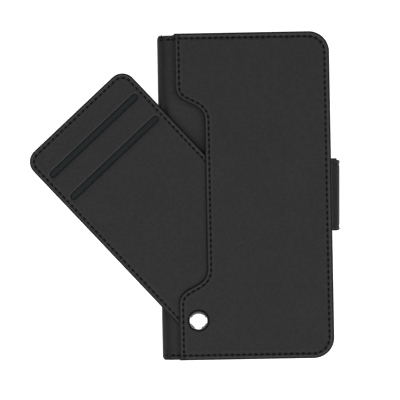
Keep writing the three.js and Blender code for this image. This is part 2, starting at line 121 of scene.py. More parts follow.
def roundedRing(left, right, front, back, radii, arcCount=None):
    # a rectangle with four corner radii (left-front, right-front, right-back, left-back), anticlockwise
    step = 0.4 * mm
    sides = [right - left, back - front, right - left, back - front]
    counts = [max(4, int(round(side / step))) for side in sides]
    arcs = [arcCount or max(6, int(round(radius * quarter / step))) for radius in radii]

    def ring(inset):
        l, r, f, b = left + inset, right - inset, front + inset, back - inset
        rad = [max(radius - inset, 1e-6) for radius in radii]
        return np.vstack([
            linePoints((l + rad[0], f), (r - rad[1], f), counts[0]),
            arcPoints(r - rad[1], f + rad[1], rad[1], -quarter, 0, arcs[1]),
            linePoints((r, f + rad[1]), (r, b - rad[2]), counts[1]),
            arcPoints(r - rad[2], b - rad[2], rad[2], 0, quarter, arcs[2]),
            linePoints((r - rad[2], b), (l + rad[3], b), counts[2]),
            arcPoints(l + rad[3], b - rad[3], rad[3], quarter, 2 * quarter, arcs[3]),
            linePoints((l, b - rad[3]), (l, f + rad[0]), counts[3]),
            arcPoints(l + rad[0], f + rad[0], rad[0], 2 * quarter, 3 * quarter, arcs[0]),
        ])

    return ring


def holeRing(left, right, front, back, radius, arcCount):
    # a rounded hole's outline, which grows outwards
    ring = roundedRing(left, right, front, back, [radius] * 4, arcCount)
    return lambda grow: ring(-grow)


def runLength(points):
    # distance run along a line up to each of its points
    return np.concatenate([[0], np.cumsum(np.linalg.norm(np.diff(points, axis=0), axis=1))])


def pointsAt(at, run, points):
    # the line's points at the given distances along it
    return np.column_stack([np.interp(at, run, column) for column in points.T])


def freeEdge(inset, startX, endX, counts):
    # a cover's three free sides: bottom edge, round corner, right side, round corner, top edge
    right, front, back = coverRight - inset, coverFront + inset, coverBack - inset
    radius = cornerRadius - inset
    return np.vstack([
        linePoints((startX, front), (right - radius, front), counts[0]),
        arcPoints(right - radius, front + radius, radius, -quarter, 0, counts[1]),
        linePoints((right, front + radius), (right, back - radius), counts[2]),
        arcPoints(right - radius, back - radius, radius, 0, quarter, counts[1]),
        linePoints((right - radius, back), (endX, back), counts[3]),
    ])


def smooth(value, low, high):
    # 0 below low, 1 above high, 3k^2 - 2k^3 between
    k = np.clip((value - low) / (high - low), 0, 1)
    return k * k * (3 - 2 * k)


def hill(value, centre, width):
    # exp(-((v - c) / w)^2)
    return np.exp(-((value - centre) / width) ** 2)


def makePiece(name, vertices, faces, material, shades=None, sharp=40):
    mesh = bpy.data.meshes.new(name)
    mesh.from_pydata(np.asarray(vertices, float).tolist(), [], [list(face) for face in faces])
    mesh.validate()
    mesh.polygons.foreach_set("use_smooth", np.ones(len(mesh.polygons), bool))
    mesh.set_sharp_from_angle(angle=math.radians(sharp))
    for label, values in (shades or {}).items():
        attribute = mesh.attributes.new(label, "FLOAT", "POINT")
        attribute.data.foreach_set("value", np.asarray(values, np.float32))
    mesh.materials.append(material)
    piece = bpy.data.objects.new(name, mesh)
    bpy.context.scene.collection.objects.link(piece)
    return piece


def quadsBetween(firstRow, secondRow, closed=True):
    # quads joining two rows of equal count, as index arrays
    a, b = np.asarray(firstRow), np.asarray(secondRow)
    if closed:
        return np.column_stack([a, np.roll(a, -1), np.roll(b, -1), b])
    return np.column_stack([a[:-1], a[1:], b[1:], b[:-1]])


def carriedFaces(count, size):
    # quads between neighbouring closed sections, and the two end faces
    index = np.arange(count * size).reshape(count, size)
    faces = np.vstack([quadsBetween(index[k], index[k + 1]) for k in range(count - 1)])
    return faces, [index[0].tolist()[::-1], index[-1].tolist()]


def doubleArea(xy, triangles):
    # (b - a) x (c - a), above 0 where a triangle runs anticlockwise
    a, b, c = (xy[triangles[:, k]] for k in range(3))
    return (b[:, 0] - a[:, 0]) * (c[:, 1] - a[:, 1]) - (b[:, 1] - a[:, 1]) * (c[:, 0] - a[:, 0])


def underCap(vertices, rings):
    # triangles, facing down, over a flat region bounded by the first ring, less the other rings
    loops = [[Vector((*vertices[index][:2], 0)) for index in ring] for ring in rings]
    order = np.concatenate([np.asarray(ring) for ring in rings])
    triangles = np.array([[order[i] for i in triangle] for triangle in tessellate_polygon(loops)])
    area = doubleArea(np.asarray(vertices)[:, :2], triangles)
    triangles[area > 0] = triangles[area > 0][:, ::-1]
    return triangles[np.abs(area) > 1e-14]


def insideLoop(xy, loop):
    # even-odd rule: how many of the loop's edges a ray towards +X crosses
    start, end = loop, np.roll(loop, -1, axis=0)
    inside = np.zeros(len(xy), bool)
    for first in range(0, len(xy), 4000):
        x, y = xy[first:first + 4000, 0, None], xy[first:first + 4000, 1, None]
        crosses = (start[:, 1] > y) != (end[:, 1] > y)
        rise = np.where(end[:, 1] == start[:, 1], 1.0, end[:, 1] - start[:, 1])
        at = start[:, 0] + (y - start[:, 1]) * (end[:, 0] - start[:, 0]) / rise
        inside[first:first + 4000] = (crosses & (x < at)).sum(axis=1) % 2 == 1
    return inside


def insideRegion(xy, loops):
    # inside the first loop and outside the others
    inside = insideLoop(xy, loops[0])
    for hole in loops[1:]:
        inside &= ~insideLoop(xy, hole)
    return inside


def filledCap(vertices, rings):
    # a Delaunay mesh over the region inside the first ring and outside the others, with a staggered grid of
    # points in it: x = i spacing + half a step on odd rows, y = j spacing sqrt(3) / 2
    spacing = 0.9 * mm
    loops = [vertices[ring, :2] for ring in rings]
    low, high = loops[0].min(axis=0), loops[0].max(axis=0)
    rowStep = spacing * math.sqrt(3) / 2
    i, j = np.meshgrid(np.arange(low[0], high[0], spacing), np.arange(low[1], high[1], rowStep))
    i = i + (np.arange(i.shape[0]) % 2)[:, None] * spacing / 2
    grid = np.column_stack([i.ravel(), j.ravel()])
    grid = grid[insideRegion(grid, loops)]
    border = np.vstack(loops)
    clear = np.concatenate([
        ((grid[k:k + 2000, None] - border[None]) ** 2).sum(axis=2).min(axis=1) > (0.35 * spacing) ** 2
        for k in range(0, len(grid), 2000)
    ])
    grid = grid[clear]
    points = np.vstack([border, grid])
    edges, offset = [], 0
    for loop in loops:
        index = np.arange(offset, offset + len(loop))
        edges.append(np.column_stack([index, np.roll(index, -1)]))
        offset += len(loop)
    corners = [Vector(point) for point in (points * 1000).tolist()]
    result = delaunay_2d_cdt(corners, np.vstack(edges).tolist(), [], 0, 1e-6)
    source = np.array([ids[0] if ids else -1 for ids in result[3]])
    triangles = source[np.array(result[2])]
    triangles = triangles[(triangles >= 0).all(axis=1)]
    triangles = triangles[insideRegion(points[triangles].mean(axis=1), loops)]
    area = doubleArea(points, triangles)
    triangles[area < 0] = triangles[area < 0][:, ::-1]
    known = np.concatenate([np.asarray(ring) for ring in rings])
    names = np.concatenate([known, len(vertices) + np.arange(len(grid))])
    return grid, names[triangles]


def makeSeam(points, closed=False, reach=None):
    # a stitched line: its points, the distance run to each, the spacing of its stitches, and the stretch that
    # carries thread. Going along it, the inside of the piece is on the left.
    points = np.asarray(points, float)[:, :2]
    if closed and len(points) > 700:
        points = points[::2]
    if closed:
        points = np.vstack([points, points[:1]])
    run = runLength(points)
    count = max(2, int(round(run[-1] / stitch["pitch"])))
    tangent = np.gradient(points, axis=0)
    tangent /= np.maximum(np.linalg.norm(tangent, axis=1, keepdims=True), 1e-12)
    return {"points": points, "run": run, "spacing": run[-1] / count, "count": count, "tangent": tangent,
            "reach": reach}


def seamPlace(xy, seam):
    # signed distance from the line (+ on the inside), and the distance run along it
    offset = np.empty(len(xy))
    run = np.empty(len(xy))
    for first in range(0, len(xy), 4000):
        block = xy[first:first + 4000]
        gap = block[:, None] - seam["points"][None]
        near = np.argmin((gap ** 2).sum(axis=2), axis=1)
        away = block - seam["points"][near]
        tangent = seam["tangent"][near]
        side = tangent[:, 0] * away[:, 1] - tangent[:, 1] * away[:, 0]
        beyond = np.abs((tangent * away).sum(axis=1))
        pastEnd = np.sign(side) * np.hypot(side, beyond)
        offset[first:first + 4000] = np.where(np.abs(side) > beyond, side, pastEnd)
        run[first:first + 4000] = seam["run"][near] + (tangent * away).sum(axis=1)
    return offset, run


def seamRelief(xy, seams):
    # rise = - groove hill(d) - dimple hill(d) wave(s) + lip hill(d + 1.1) + ridge hill(d - 1.0), summed over
    # the seams; wave is 1 at each stitch and 0 between
    rise, lip, pitShade = np.zeros(len(xy)), np.zeros(len(xy)), np.zeros(len(xy))
    for seam in seams:
        offset, run = seamPlace(xy, seam)
        wave = 0.5 - 0.5 * np.cos(2 * np.pi * run / seam["spacing"])
        near = hill(offset, 0, sewing["grooveWidth"])
        rise -= sewing["groove"] * near + sewing["dimple"] * near * wave
        rise += sewing["lip"] * hill(offset, -1.15 * mm, 0.55 * mm)
        rise += sewing["ridge"] * hill(offset, 0.85 * mm, 0.45 * mm)
        # the lightening is a painted highlight on the raised lip and ridge, the darkening painted shade in
        # the stitch groove, strongest at each stitch
        lip = np.maximum(lip, hill(offset, -1.15 * mm, 0.6 * mm) * (1 - 0.25 * wave))
        lip = np.maximum(lip, 0.4 * hill(offset, 0.85 * mm, 0.4 * mm))
        pitShade = np.maximum(pitShade, hill(offset, 0, 0.42 * mm) * (0.3 + 0.6 * wave))
    return rise, lip * (1 - pitShade), pitShade


def sewnSheet(name, ring, profile, material, holes=(), seams=(), relief=None, flush=None, turn=None,
              edgePaintAndShadeWidth=0.85 * mm):
    # ring(inset) gives the outline; profile is (inset, height) from the top cap round the edge to the bottom
    # cap. Each hole is (ringFunction, profile), its profile running from the top cap down to the bottom cap.
    # relief(xy) gives extra rise, a painted highlight and painted shade on top, flush(xy) is 1 where the edge
    # is not rounded off, and turn(vertices) takes the finished surface to its place.
    vertices, faces, insets = [], [], []
    capRings = {"top": [], "bottom": []}
    total = 0
    for ringFunction, ringProfile, isHole in [(ring, profile, False)] + [(*hole, True) for hole in holes]:
        rows = []
        for inset, height in ringProfile:
            points = ringFunction(inset)
            vertices.append(np.column_stack([points, np.full(len(points), height)]))
            insets.append(np.full(len(points), 1.0 if isHole else inset))
            rows.append(np.arange(total, total + len(points)))
            total += len(points)
        for upper, lower in zip(rows[:-1], rows[1:]):
            quads = quadsBetween(upper, lower)
            faces.append(quads if isHole else quads[:, ::-1])
        capRings["top"].append(rows[0])
        capRings["bottom"].append(rows[-1])
    allVertices = np.vstack(vertices)
    grid, topFaces = filledCap(allVertices, capRings["top"])
    caps = [topFaces, underCap(allVertices, capRings["bottom"])]
    top = profile[0][1]
    allVertices = np.vstack([allVertices, np.column_stack([grid, np.full(len(grid), top)])])
    allInsets = np.concatenate(insets + [np.ones(len(grid))])
    xy = allVertices[:, :2]
    level = np.zeros(len(xy)) if flush is None else flush(xy)
    rolled = (allVertices[:, 2] < top) & (allVertices[:, 2] > top - 0.6 * mm)
    allVertices[:, 2] += np.where(rolled, level * (top - allVertices[:, 2]), 0)
    isTop = allVertices[:, 2] > top - 0.15 * mm
    rise, lip, pitShade = seamRelief(xy, seams)
    if relief is not None:
        moreRise, moreLip, morePitShade = relief(xy)
        rise, lip, pitShade = rise + moreRise, np.maximum(lip, moreLip), np.maximum(pitShade, morePitShade)
    # a dark band round the edge: edge paint, with painted shade where the rounded edge turns away
    edgePaintAndShade = 0 * level
    if edgePaintAndShadeWidth:
        edgePaintAndShade = (1 - smooth(allInsets, 0.55 * edgePaintAndShadeWidth, 1.2 * edgePaintAndShadeWidth)) * (1 - level)
    # the shade marks: a painted highlight on the lips, painted shade in grooves, and the dark edge band
    shades = {"lip": lip * isTop * smooth(allInsets, 0.3 * mm, 0.8 * mm), "pitShade": pitShade * isTop, "edgePaintAndShade": edgePaintAndShade}
    allVertices[:, 2] += rise * isTop
    if turn is not None:
        allVertices = turn(allVertices)
    allFaces = [face for block in faces + caps for face in block.tolist()]
    return makePiece(name, allVertices, allFaces, material, shades)


def stitchRow(name, points, normals, material):
    # one thread lump per place: along u the height is rise * sin(pi u) - sink, and the section is an ellipse
    # whose size follows sqrt(sin(pi u)). points are (n, 2, 3): each lump's two ends.
    width, rise, sink = stitch["width"], stitch["rise"], stitch["sink"]
    ends = np.asarray(points, float)
    up = np.asarray(normals, float)
    along = ends[:, 1] - ends[:, 0]
    across = np.cross(up, along)
    across /= np.linalg.norm(across, axis=1, keepdims=True)
    steps, sides = 5, 6
    u = np.linspace(0.06, 0.94, steps)
    angle = np.arange(sides) / sides * 2 * np.pi
    size = np.sqrt(np.sin(np.pi * u))
    centre = ends[:, None, 0] + along[:, None] * u[None, :, None]
    centre = centre + up[:, None] * (rise * np.sin(np.pi * u) - sink)[None, :, None]
    ringAcross = across[:, None, None] * (width / 2 * size[:, None] * np.cos(angle)[None])[None, :, :, None]
    ringUp = up[:, None, None] * (width / 2 * 0.8 * size[:, None] * np.sin(angle)[None])[None, :, :, None]
    lumps = centre[:, :, None] + ringAcross + ringUp
    count = len(ends)
    vertices = lumps.reshape(-1, 3)
    index = np.arange(count * steps * sides).reshape(count, steps, sides)
    quads = np.stack([
        index[:, :-1], index[:, 1:], np.roll(index[:, 1:], -1, axis=2), np.roll(index[:, :-1], -1, axis=2)
    ], axis=-1).reshape(-1, 4)
    faces = quads[:, ::-1].tolist() + index[:, 0, ::-1].tolist() + index[:, -1].tolist()
    return makePiece(name, vertices, faces, material)


def threadPiece(name, body, seam, height, turn=np.asarray):
    # one stitch in the middle of each spacing of the seam, lying at the given height
    middles = seam["spacing"] * (np.arange(seam["count"]) + 0.5)
    low, high = seam["reach"] or (0, seam["run"][-1])
    middles = middles[(middles > low) & (middles < high)]
    ends = []
    for offset in (-stitch["length"] / 2, stitch["length"] / 2):
        at = np.clip(middles + offset, 0, seam["run"][-1])
        ends.append(np.column_stack([pointsAt(at, seam["run"], seam["points"]), np.full(len(at), height)]))
    ends = turn(np.stack(ends, axis=1).reshape(-1, 3)).reshape(-1, 2, 3)
    up = turn([[0.0, 0.0, 1.0]]) - turn([[0.0, 0.0, 0.0]])
    piece = stitchRow(name, ends, np.repeat(up, len(ends), axis=0), blackThread)
    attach(piece, body)


def newMaterial(name):
    # the material, its tree and shader, and Object coordinates
    material = bpy.data.materials.new(name)
    material.use_nodes = True
    tree = material.node_tree
    place = addNode(tree, "ShaderNodeTexCoord").outputs["Object"]
    return material, tree, tree.nodes["Principled BSDF"], place


def setInputs(tree, node, inputs):
    for key, value in inputs.items():
        if isinstance(value, bpy.types.NodeSocket):
            tree.links.new(value, node.inputs[key])
        else:
            node.inputs[key].default_value = value


def addNode(tree, kind, settings=None, inputs=None):
    node = tree.nodes.new(kind)
    for key, value in (settings or {}).items():
        setattr(node, key, value)
    setInputs(tree, node, inputs or {})
    return node


def mathNode(tree, operation, a, b=0.0):
    return addNode(tree, "ShaderNodeMath", {"operation": operation}, {0: a, 1: b}).outputs[0]


def mixColour(tree, amount, a, b):
    return addNode(tree, "ShaderNodeMix", {"data_type": "RGBA"}, {0: amount, 6: a, 7: b}).outputs[2]


def grey(value, tint=(1, 1, 1)):
    return (value * tint[0], value * tint[1], value * tint[2], 1)


def noise(tree, place, scale, detail=3.0):
    return addNode(tree, "ShaderNodeTexNoise", None, {
        "Vector": place, "Scale": scale, "Detail": detail, "Roughness": 0.55
    }).outputs[0]


def waves(tree, place, direction, scale, distortion, **more):
    return addNode(tree, "ShaderNodeTexWave", {"bands_direction": direction}, {
        "Vector": place, "Scale": scale, "Distortion": distortion, **more
    }).outputs[1]


def attributeValue(tree, label):
    return addNode(tree, "ShaderNodeAttribute", {"attribute_name": label}).outputs["Fac"]


def unevenRoughness(tree, shader, slow, low, high):
    # roughness runs from low to high as the slow noise goes from 0.3 to 0.7
    rough = addNode(tree, "ShaderNodeMapRange", None, {0: slow, 1: 0.3, 2: 0.7, 3: low, 4: high})
    setInputs(tree, shader, {"Roughness": rough.outputs[0]})


def addBump(tree, shader, height, strength, distance):
    bump = addNode(tree, "ShaderNodeBump", None, {
        "Strength": strength, "Distance": distance, "Height": height
    })
    setInputs(tree, shader, {"Normal": bump.outputs[0]})


def cells(tree, place, scale, feature="F1"):
    return addNode(tree, "ShaderNodeTexVoronoi", {"feature": feature}, {
        "Vector": place, "Scale": scale
    }).outputs[0]


# leather colours: a painted highlight for the raised lips, painted shade for grooves and creases, and
# near-black for the edges, which is edge paint with painted shade
leather = {
    "colour": 0.0205, "lipHighlightColour": 0.05, "edgePaintAndShadeColour": 0.0015, "pitShadeColour": 0.002,
    "roughness": 0.5, "grainScale": 1300, "grainStrength": 0.62, "mottle": 0.14,
}


def leatherMaterial(name, look):
    # fine pebbled grain as bump, slow mottling, a painted highlight on the raised lips, a dark edge that is
    # edge paint with painted shade, and painted shade in the stitch grooves and creases
    material, tree, shader, place = newMaterial(name)
    mottle = noise(tree, place, 55, 4.0)
    fine = noise(tree, place, 700, 3.0)
    pebble = cells(tree, place, look["grainScale"])
    crease = cells(tree, place, look["grainScale"] * 0.45, "DISTANCE_TO_EDGE")
    dark, light = (grey(look["colour"] * (1 + side * look["mottle"])) for side in (-1, 1))
    colour = mixColour(tree, mottle, dark, light)
    speck = addNode(tree, "ShaderNodeMapRange", None, {
        0: fine, 1: 0.38, 2: 0.66, 3: 0.0, 4: 0.55
    }).outputs[0]
    colour = mixColour(tree, speck, colour, grey(look["colour"] * 1.5))
    uneven = mathNode(tree, "ADD", mathNode(tree, "MULTIPLY", fine, 0.7), 0.65)
    # the raised lips get a painted highlight, broken up by the fine noise
    paintedHighlight = mathNode(tree, "MULTIPLY", attributeValue(tree, "lip"), uneven)
    colour = mixColour(tree, paintedHighlight, colour, grey(look["lipHighlightColour"]))
    # painted shade in the grooves and creases, then the dark edge: edge paint with painted shade
    for label in ("pitShade", "edgePaintAndShade"):
        colour = mixColour(tree, attributeValue(tree, label), colour, grey(look[label + "Colour"]))
    setInputs(tree, shader, {"Base Color": colour, "Specular IOR Level": 0.22})
    unevenRoughness(tree, shader, mottle, look["roughness"] - 0.05, look["roughness"] + 0.06)
    pebbles = mathNode(tree, "MULTIPLY", pebble, 0.6)
    grain = mathNode(tree, "MULTIPLY", fine, 0.5)
    creases = mathNode(tree, "MULTIPLY", mathNode(tree, "MINIMUM", crease, 0.12), 2.5)
    height = mathNode(tree, "ADD", mathNode(tree, "ADD", pebbles, grain), creases)
    addBump(tree, shader, height, look["grainStrength"], 0.12 * mm)
    return material


cloth = {"colour": 0.022, "roughness": 0.85, "weave": 2600, "tint": (1, 1, 1.04)}


def clothMaterial(name, look):
    # two crossed fine waves make the weave, with slow mottling and a soft sheen
    material, tree, shader, place = newMaterial(name)
    detail = {"Detail": 1.0, "Detail Scale": 3.0}
    warp, weft = (waves(tree, place, way, look["weave"] / 6.3, 1.5, **detail) for way in "XY")
    weave = mathNode(tree, "MULTIPLY", warp, weft)
    dark, light, bright = (grey(look["colour"] * share, look["tint"]) for share in (0.8, 1.2, 1.6))
    base = mixColour(tree, noise(tree, place, 90, 3.0), dark, light)
    colour = mixColour(tree, mathNode(tree, "MULTIPLY", weave, 0.5), base, bright)
    setInputs(tree, shader, {
        "Base Color": colour, "Roughness": look["roughness"], "Sheen Weight": 0.04, "Specular IOR Level": 0.2
    })
    addBump(tree, shader, weave, 0.4, 0.05 * mm)
    return material


def threadMaterial(name, colour):
    # waxed thread: a fine twist along each stitch as bump
    material, tree, shader, place = newMaterial(name)
    twist = waves(tree, place, "DIAGONAL", 700, 0.6)
    tone = mixColour(tree, twist, grey(colour * 0.7), grey(colour * 1.4))
    setInputs(tree, shader, {"Base Color": tone, "Roughness": 0.7, "Specular IOR Level": 0.12})
    addBump(tree, shader, twist, 0.5, 0.05 * mm)
    return material


def metalMaterial(name, colour, roughness, scratch=0.04):
    # polished or plain steel: roughness varies slowly, with hair-fine marks as bump
    material, tree, shader, place = newMaterial(name)
    slow = noise(tree, place, 400, 2.0)
    hair = addNode(tree, "ShaderNodeMapping", None, {"Vector": place, "Scale": (1, 12, 1)}).outputs[0]
    lines = noise(tree, hair, 1800, 2.0)
    setInputs(tree, shader, {"Base Color": (*colour, 1), "Metallic": 1.0})
    unevenRoughness(tree, shader, slow, roughness * 0.75, roughness * 1.3)
    addBump(tree, shader, lines, scratch, 0.03 * mm)
    return material


def plasticMaterial(name, colour, roughness, texture=0.25):
    # moulded plastic or board: a fine spark-eroded texture and slightly uneven gloss
    material, tree, shader, place = newMaterial(name)
    speckle = noise(tree, place, 2200, 2.0)
    slow = noise(tree, place, 60, 3.0)
    tone = mixColour(tree, slow, grey(colour * 0.88), grey(colour * 1.12))
    setInputs(tree, shader, {"Base Color": tone})
    unevenRoughness(tree, shader, slow, roughness - 0.04, roughness + 0.05)
    addBump(tree, shader, speckle, texture, 0.05 * mm)
    return material


blackLeather = leatherMaterial("black_leather", leather)
liningCloth = clothMaterial("lining_cloth", cloth)
pocketCloth = clothMaterial(
    "pocket_cloth", {"colour": 0.0185, "roughness": 0.8, "weave": 2200, "tint": (0.84, 1.07, 1.12)}
)
blackThread = threadMaterial("black_thread", 0.003)
polishedSteel = metalMaterial("polished_steel", (0.86, 0.86, 0.85), 0.09)
dullSteel = metalMaterial("dull_steel", (0.5, 0.51, 0.52), 0.35, 0.2)
trayPlastic = plasticMaterial("tray_plastic", 0.012, 0.42)
boardStock = plasticMaterial("board_stock", 0.06, 0.85, 0.5)
nylonBlack = plasticMaterial("nylon_black", 0.012, 0.5)

nodeMaterials = {
    trayPlastic: ("phone_tray",), blackLeather: ("strap_root",), liningCloth: ("spine_lining",),
    nylonBlack: ("rivet_washer_lower", "rivet_washer_upper"),
    dullSteel: ("clasp_plate", "rivet_post", "rivet_base", "holder_eyelet", "strap_magnet_upper",
                "strap_magnet_lower"),
    boardStock: ("back_cover_board", "front_cover_board", "spine_board", "strap_tongue_board"),
}
for nodeMaterial, nodeNames in nodeMaterials.items():
    for nodeName in nodeNames:
        frame["nodes"][nodeName].data.materials.clear()
        frame["nodes"][nodeName].data.materials.append(nodeMaterial)
print("materials made")


edgeInsets = [2.85, 2.65, 2.45, 2.25, 2.05, 1.85, 1.6, 1.35, 1.1, 0.85]
edgeRoll = [(0.55, 0.0), (0.36, 0.015), (0.21, 0.06), (0.1, 0.14), (0.03, 0.27)]


def topEdge(top):
    # the flat top, then a quarter-round edge: (inset, height) pairs
    flat = [(inset * mm, top) for inset in edgeInsets]
    return flat + [(inset * mm, top - drop * mm) for inset, drop in edgeRoll]


def underEdge(top, under):
    # the wall of a cover's leather and its turned lower edge
    return [
        (0, top - 0.8 * mm), (0, under + 0.3 * mm), (0.12 * mm, under + 0.08 * mm), (0.3 * mm, under),
        (3 * mm, under)
    ]


def circleRing(centre, radius, count=40):
    return lambda grow: arcPoints(centre[0], centre[1], radius + grow, 0, 2 * math.pi, count)


def plainHole(ring, top, bottom):
    # a rounded upper lip and a straight wall
    return ring, [(0.25 * mm, top), (0.08 * mm, top - 0.07 * mm), (0, top - 0.25 * mm), (0, bottom)]


def turnOver(points):
    # half a turn about the X axis: (x, y, z) to (x, -y, -z)
    return np.asarray(points) * np.array([1.0, -1.0, -1.0])


rivetPlace = np.array(joints["card_holder_swing"]["pos_m"])[:2]
creaseX = coverLeft + 3.1 * mm
# dark is painted shade along the crease; light is an even painted highlight over the rest of the leather top
creaseLook = {"depth": 0.5 * mm, "width": 1.6 * mm, "dark": 0.5, "darkWidth": 1.8 * mm, "light": 0.16}

# The front panel: its left side is cut back in a long soft scoop

panelLook = {
    "recess": 13.9 * mm, "scoopTop": (53 * mm, 37 * mm), "scoopBottom": (-35 * mm, -52 * mm),
    "softness": 0.58,
}


def panelRing(inset):
    left, recess = panelLow[0] + inset, panelLow[0] + panelLook["recess"] + inset
    front, back = coverFront + inset, coverBack - inset
    (topStart, topEnd), (footStart, footEnd) = panelLook["scoopTop"], panelLook["scoopBottom"]
    soft = panelLook["softness"]
    topEase, footEase = soft * (topEnd - topStart), soft * (footEnd - footStart)
    outerLeft, outerRecess = panelLow[0], panelLow[0] + panelLook["recess"]
    return np.vstack([
        freeEdge(inset, left, left, (170, 40, 350, 170)),
        linePoints((left, back), (left, topStart), 66),
        bezierInset((outerLeft, topStart), (outerLeft, topStart + topEase), (outerRecess, topEnd - topEase),
                    (outerRecess, topEnd), inset, 60),
        linePoints((recess, topEnd), (recess, footStart), 180),
        bezierInset((outerRecess, footStart), (outerRecess, footStart + footEase),
                    (outerLeft, footEnd - footEase), (outerLeft, footEnd), inset, 60),
        linePoints((left, footEnd), (left, front), 66),
    ])


seamStart = creaseX + 0.6 * mm
coverSeam = makeSeam(freeEdge(sewing["line"], seamStart, seamStart, (160, 32, 300, 161)))
freeStart = 770  # the ring's first point past the three sewn sides
freeLine = panelRing(sewing["freeLine"])[freeStart:]
freeLine = np.vstack([
    [[freeLine[0, 0], coverBack]], freeLine, [[freeLine[0, 0], coverFront + sewing["freeLine"]]],
    [[freeLine[0, 0], coverFront]]
])
freeRun = runLength(freeLine)
freeLine = pointsAt(np.linspace(0, freeRun[-1], 600), freeRun, freeLine)
freeSeam = makeSeam(freeLine, reach=(2.2 * mm, freeRun[-1] - 2.2 * mm))

panelTop, panelUnder = panelHigh[2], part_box("front_panel_backing")[0][2]
panelProfile = topEdge(panelTop) + [
    (0, panelTop - 0.45 * mm), (0.05 * mm, panelUnder + 0.12 * mm), (0.25 * mm, panelUnder),
    (3 * mm, panelUnder)
]


def rivetRelief(xy):
    # the rivet's cap presses the leather into a ring round itself, with painted shade in the ring
    away = np.hypot(*(xy - rivetPlace).T)
    pressed = np.minimum(hill(away, rivetSeat, 0.24 * mm) + (away < rivetSeat), 1)
    return -0.4 * mm * pressed, 0 * pressed, pressed


rivetHole, rivetSeat = 2.1 * mm, 4.95 * mm  # radii

# rings round the rivet, close together where the leather is pressed in
boreProfile = [(k * mm, panelTop) for k in (3.5, 3.3, 3.1, 2.95, 2.8, 2.65, 2.5, 2.2, 0.25)] + [
    (0, panelTop - 0.1 * mm), (0, panelUnder)
]
frontPanel = sewnSheet(
    "frontPanel", panelRing, panelProfile, blackLeather, seams=(coverSeam, freeSeam), relief=rivetRelief,
    holes=[(circleRing(rivetPlace, rivetHole, 72), boreProfile)]
)
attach(frontPanel, "front_cover")
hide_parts("front_panel", "front_panel_backing")
panelPart = np.flatnonzero(coverSeam["points"][:, 0] > panelLow[0])
panelReach = (coverSeam["run"][panelPart[0]], coverSeam["run"][panelPart[-1]])

threadDrop = 0.3 * mm
threadPiece("panelEdgeStitches", "front_cover", {**coverSeam, "reach": panelReach}, panelTop - threadDrop)
threadPiece("panelFreeStitches", "front_cover", freeSeam, panelTop - threadDrop)
print("front panel sewn")

# The pocket's wall: a leather welt sewn between the base and the panel on three sides

welt = {"width": 3.4 * mm, "bulge": 0.22 * mm, "footTop": -69.1 * mm}


def weltPath(inset):
    left = panelLow[0]
    return np.vstack([
        linePoints((left + inset, welt["footTop"]), (left + inset, coverFront + inset), 16),
        freeEdge(inset, left + inset, left, (120, 30, 200, 119)),
        [[left, coverBack - inset]],
    ])


def weltMesh(name, low, high):
    # the section is a closed loop of (inset, height): bowed outer face, flat top, inner face, flat underside
    k = np.linspace(0, 1, 7)
    outer = np.column_stack([0.3 * mm - welt["bulge"] * 4 * k * (1 - k), low + (high - low) * k])
    inner = np.column_stack([np.full(5, welt["width"]), high + (low - high) * np.linspace(0, 1, 5)])
    section = np.vstack([outer, inner])
    pathLength = len(weltPath(0))
    rows = np.stack([
        np.column_stack([weltPath(inset), np.full(pathLength, height)]) for inset, height in section
    ])
    across, along = rows.shape[:2]
    index = np.arange(across * along).reshape(across, along)
    faces = np.vstack([quadsBetween(index[k], index[(k + 1) % across], closed=False) for k in range(across)])
    ends = [index[::-1, 0].tolist(), index[:, -1].tolist()]
    # the outer face gets the dark edge mark: edge paint with painted shade
    edgePaintAndShade = np.repeat((section[:, 0] < 0.4 * mm).astype(float), along) * 0.85
    return makePiece(name, rows.reshape(-1, 3), faces.tolist() + ends, blackLeather, {"edgePaintAndShade": edgePaintAndShade})


pocketWelt = weltMesh("pocketWelt", frontHigh[2], panelUnder)
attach(pocketWelt, "front_cover")
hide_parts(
    "pocket_gusset_top", "pocket_gusset_right", "pocket_gusset_bottom", "pocket_gusset_foot"
)

# The front base: leather over the front board, from the crease by the spine to the free edge

baseTop, boardUnder = frontHigh[2], frontLiningHigh[2]
baseLook = {"edgeDip": 0.55 * mm, "dipFrom": 70 * mm}


def baseRing(inset):
    left = creaseX + inset
    points = np.vstack([
        freeEdge(inset, left, left, (200, 40, 350, 200)),
        linePoints((left, coverBack - inset), (left, coverFront + inset), 380),
    ])
    # the top edge left of the panel stands a little further in
    beside = 1 - smooth(points[:, 0], panelLow[0] - 1.2 * mm, panelLow[0])
    points[:, 1] -= baseLook["edgeDip"] * beside * (points[:, 1] > baseLook["dipFrom"])
    return points


def creaseRelief(xy):
    # the leather sinks into the crease: depth hill(x - crease)
    deep = hill(xy[:, 0], creaseX, creaseLook["width"])
    # painted shade along the crease, and an even painted highlight over all the top
    dark = creaseLook["dark"] * hill(xy[:, 0], creaseX, creaseLook["darkWidth"])
    return -creaseLook["depth"] * deep, creaseLook["light"] + 0 * deep, dark


def creaseFlush(xy):
    # along the crease the sheet runs on into the spine's leather, so its edge is not rounded off
    nearCrease = 1 - smooth(xy[:, 0], creaseX + 0.9 * mm, creaseX + 1.3 * mm)
    return nearCrease * (1 - smooth(np.abs(xy[:, 1]), coverBack - 1.3 * mm, coverBack - 0.9 * mm))


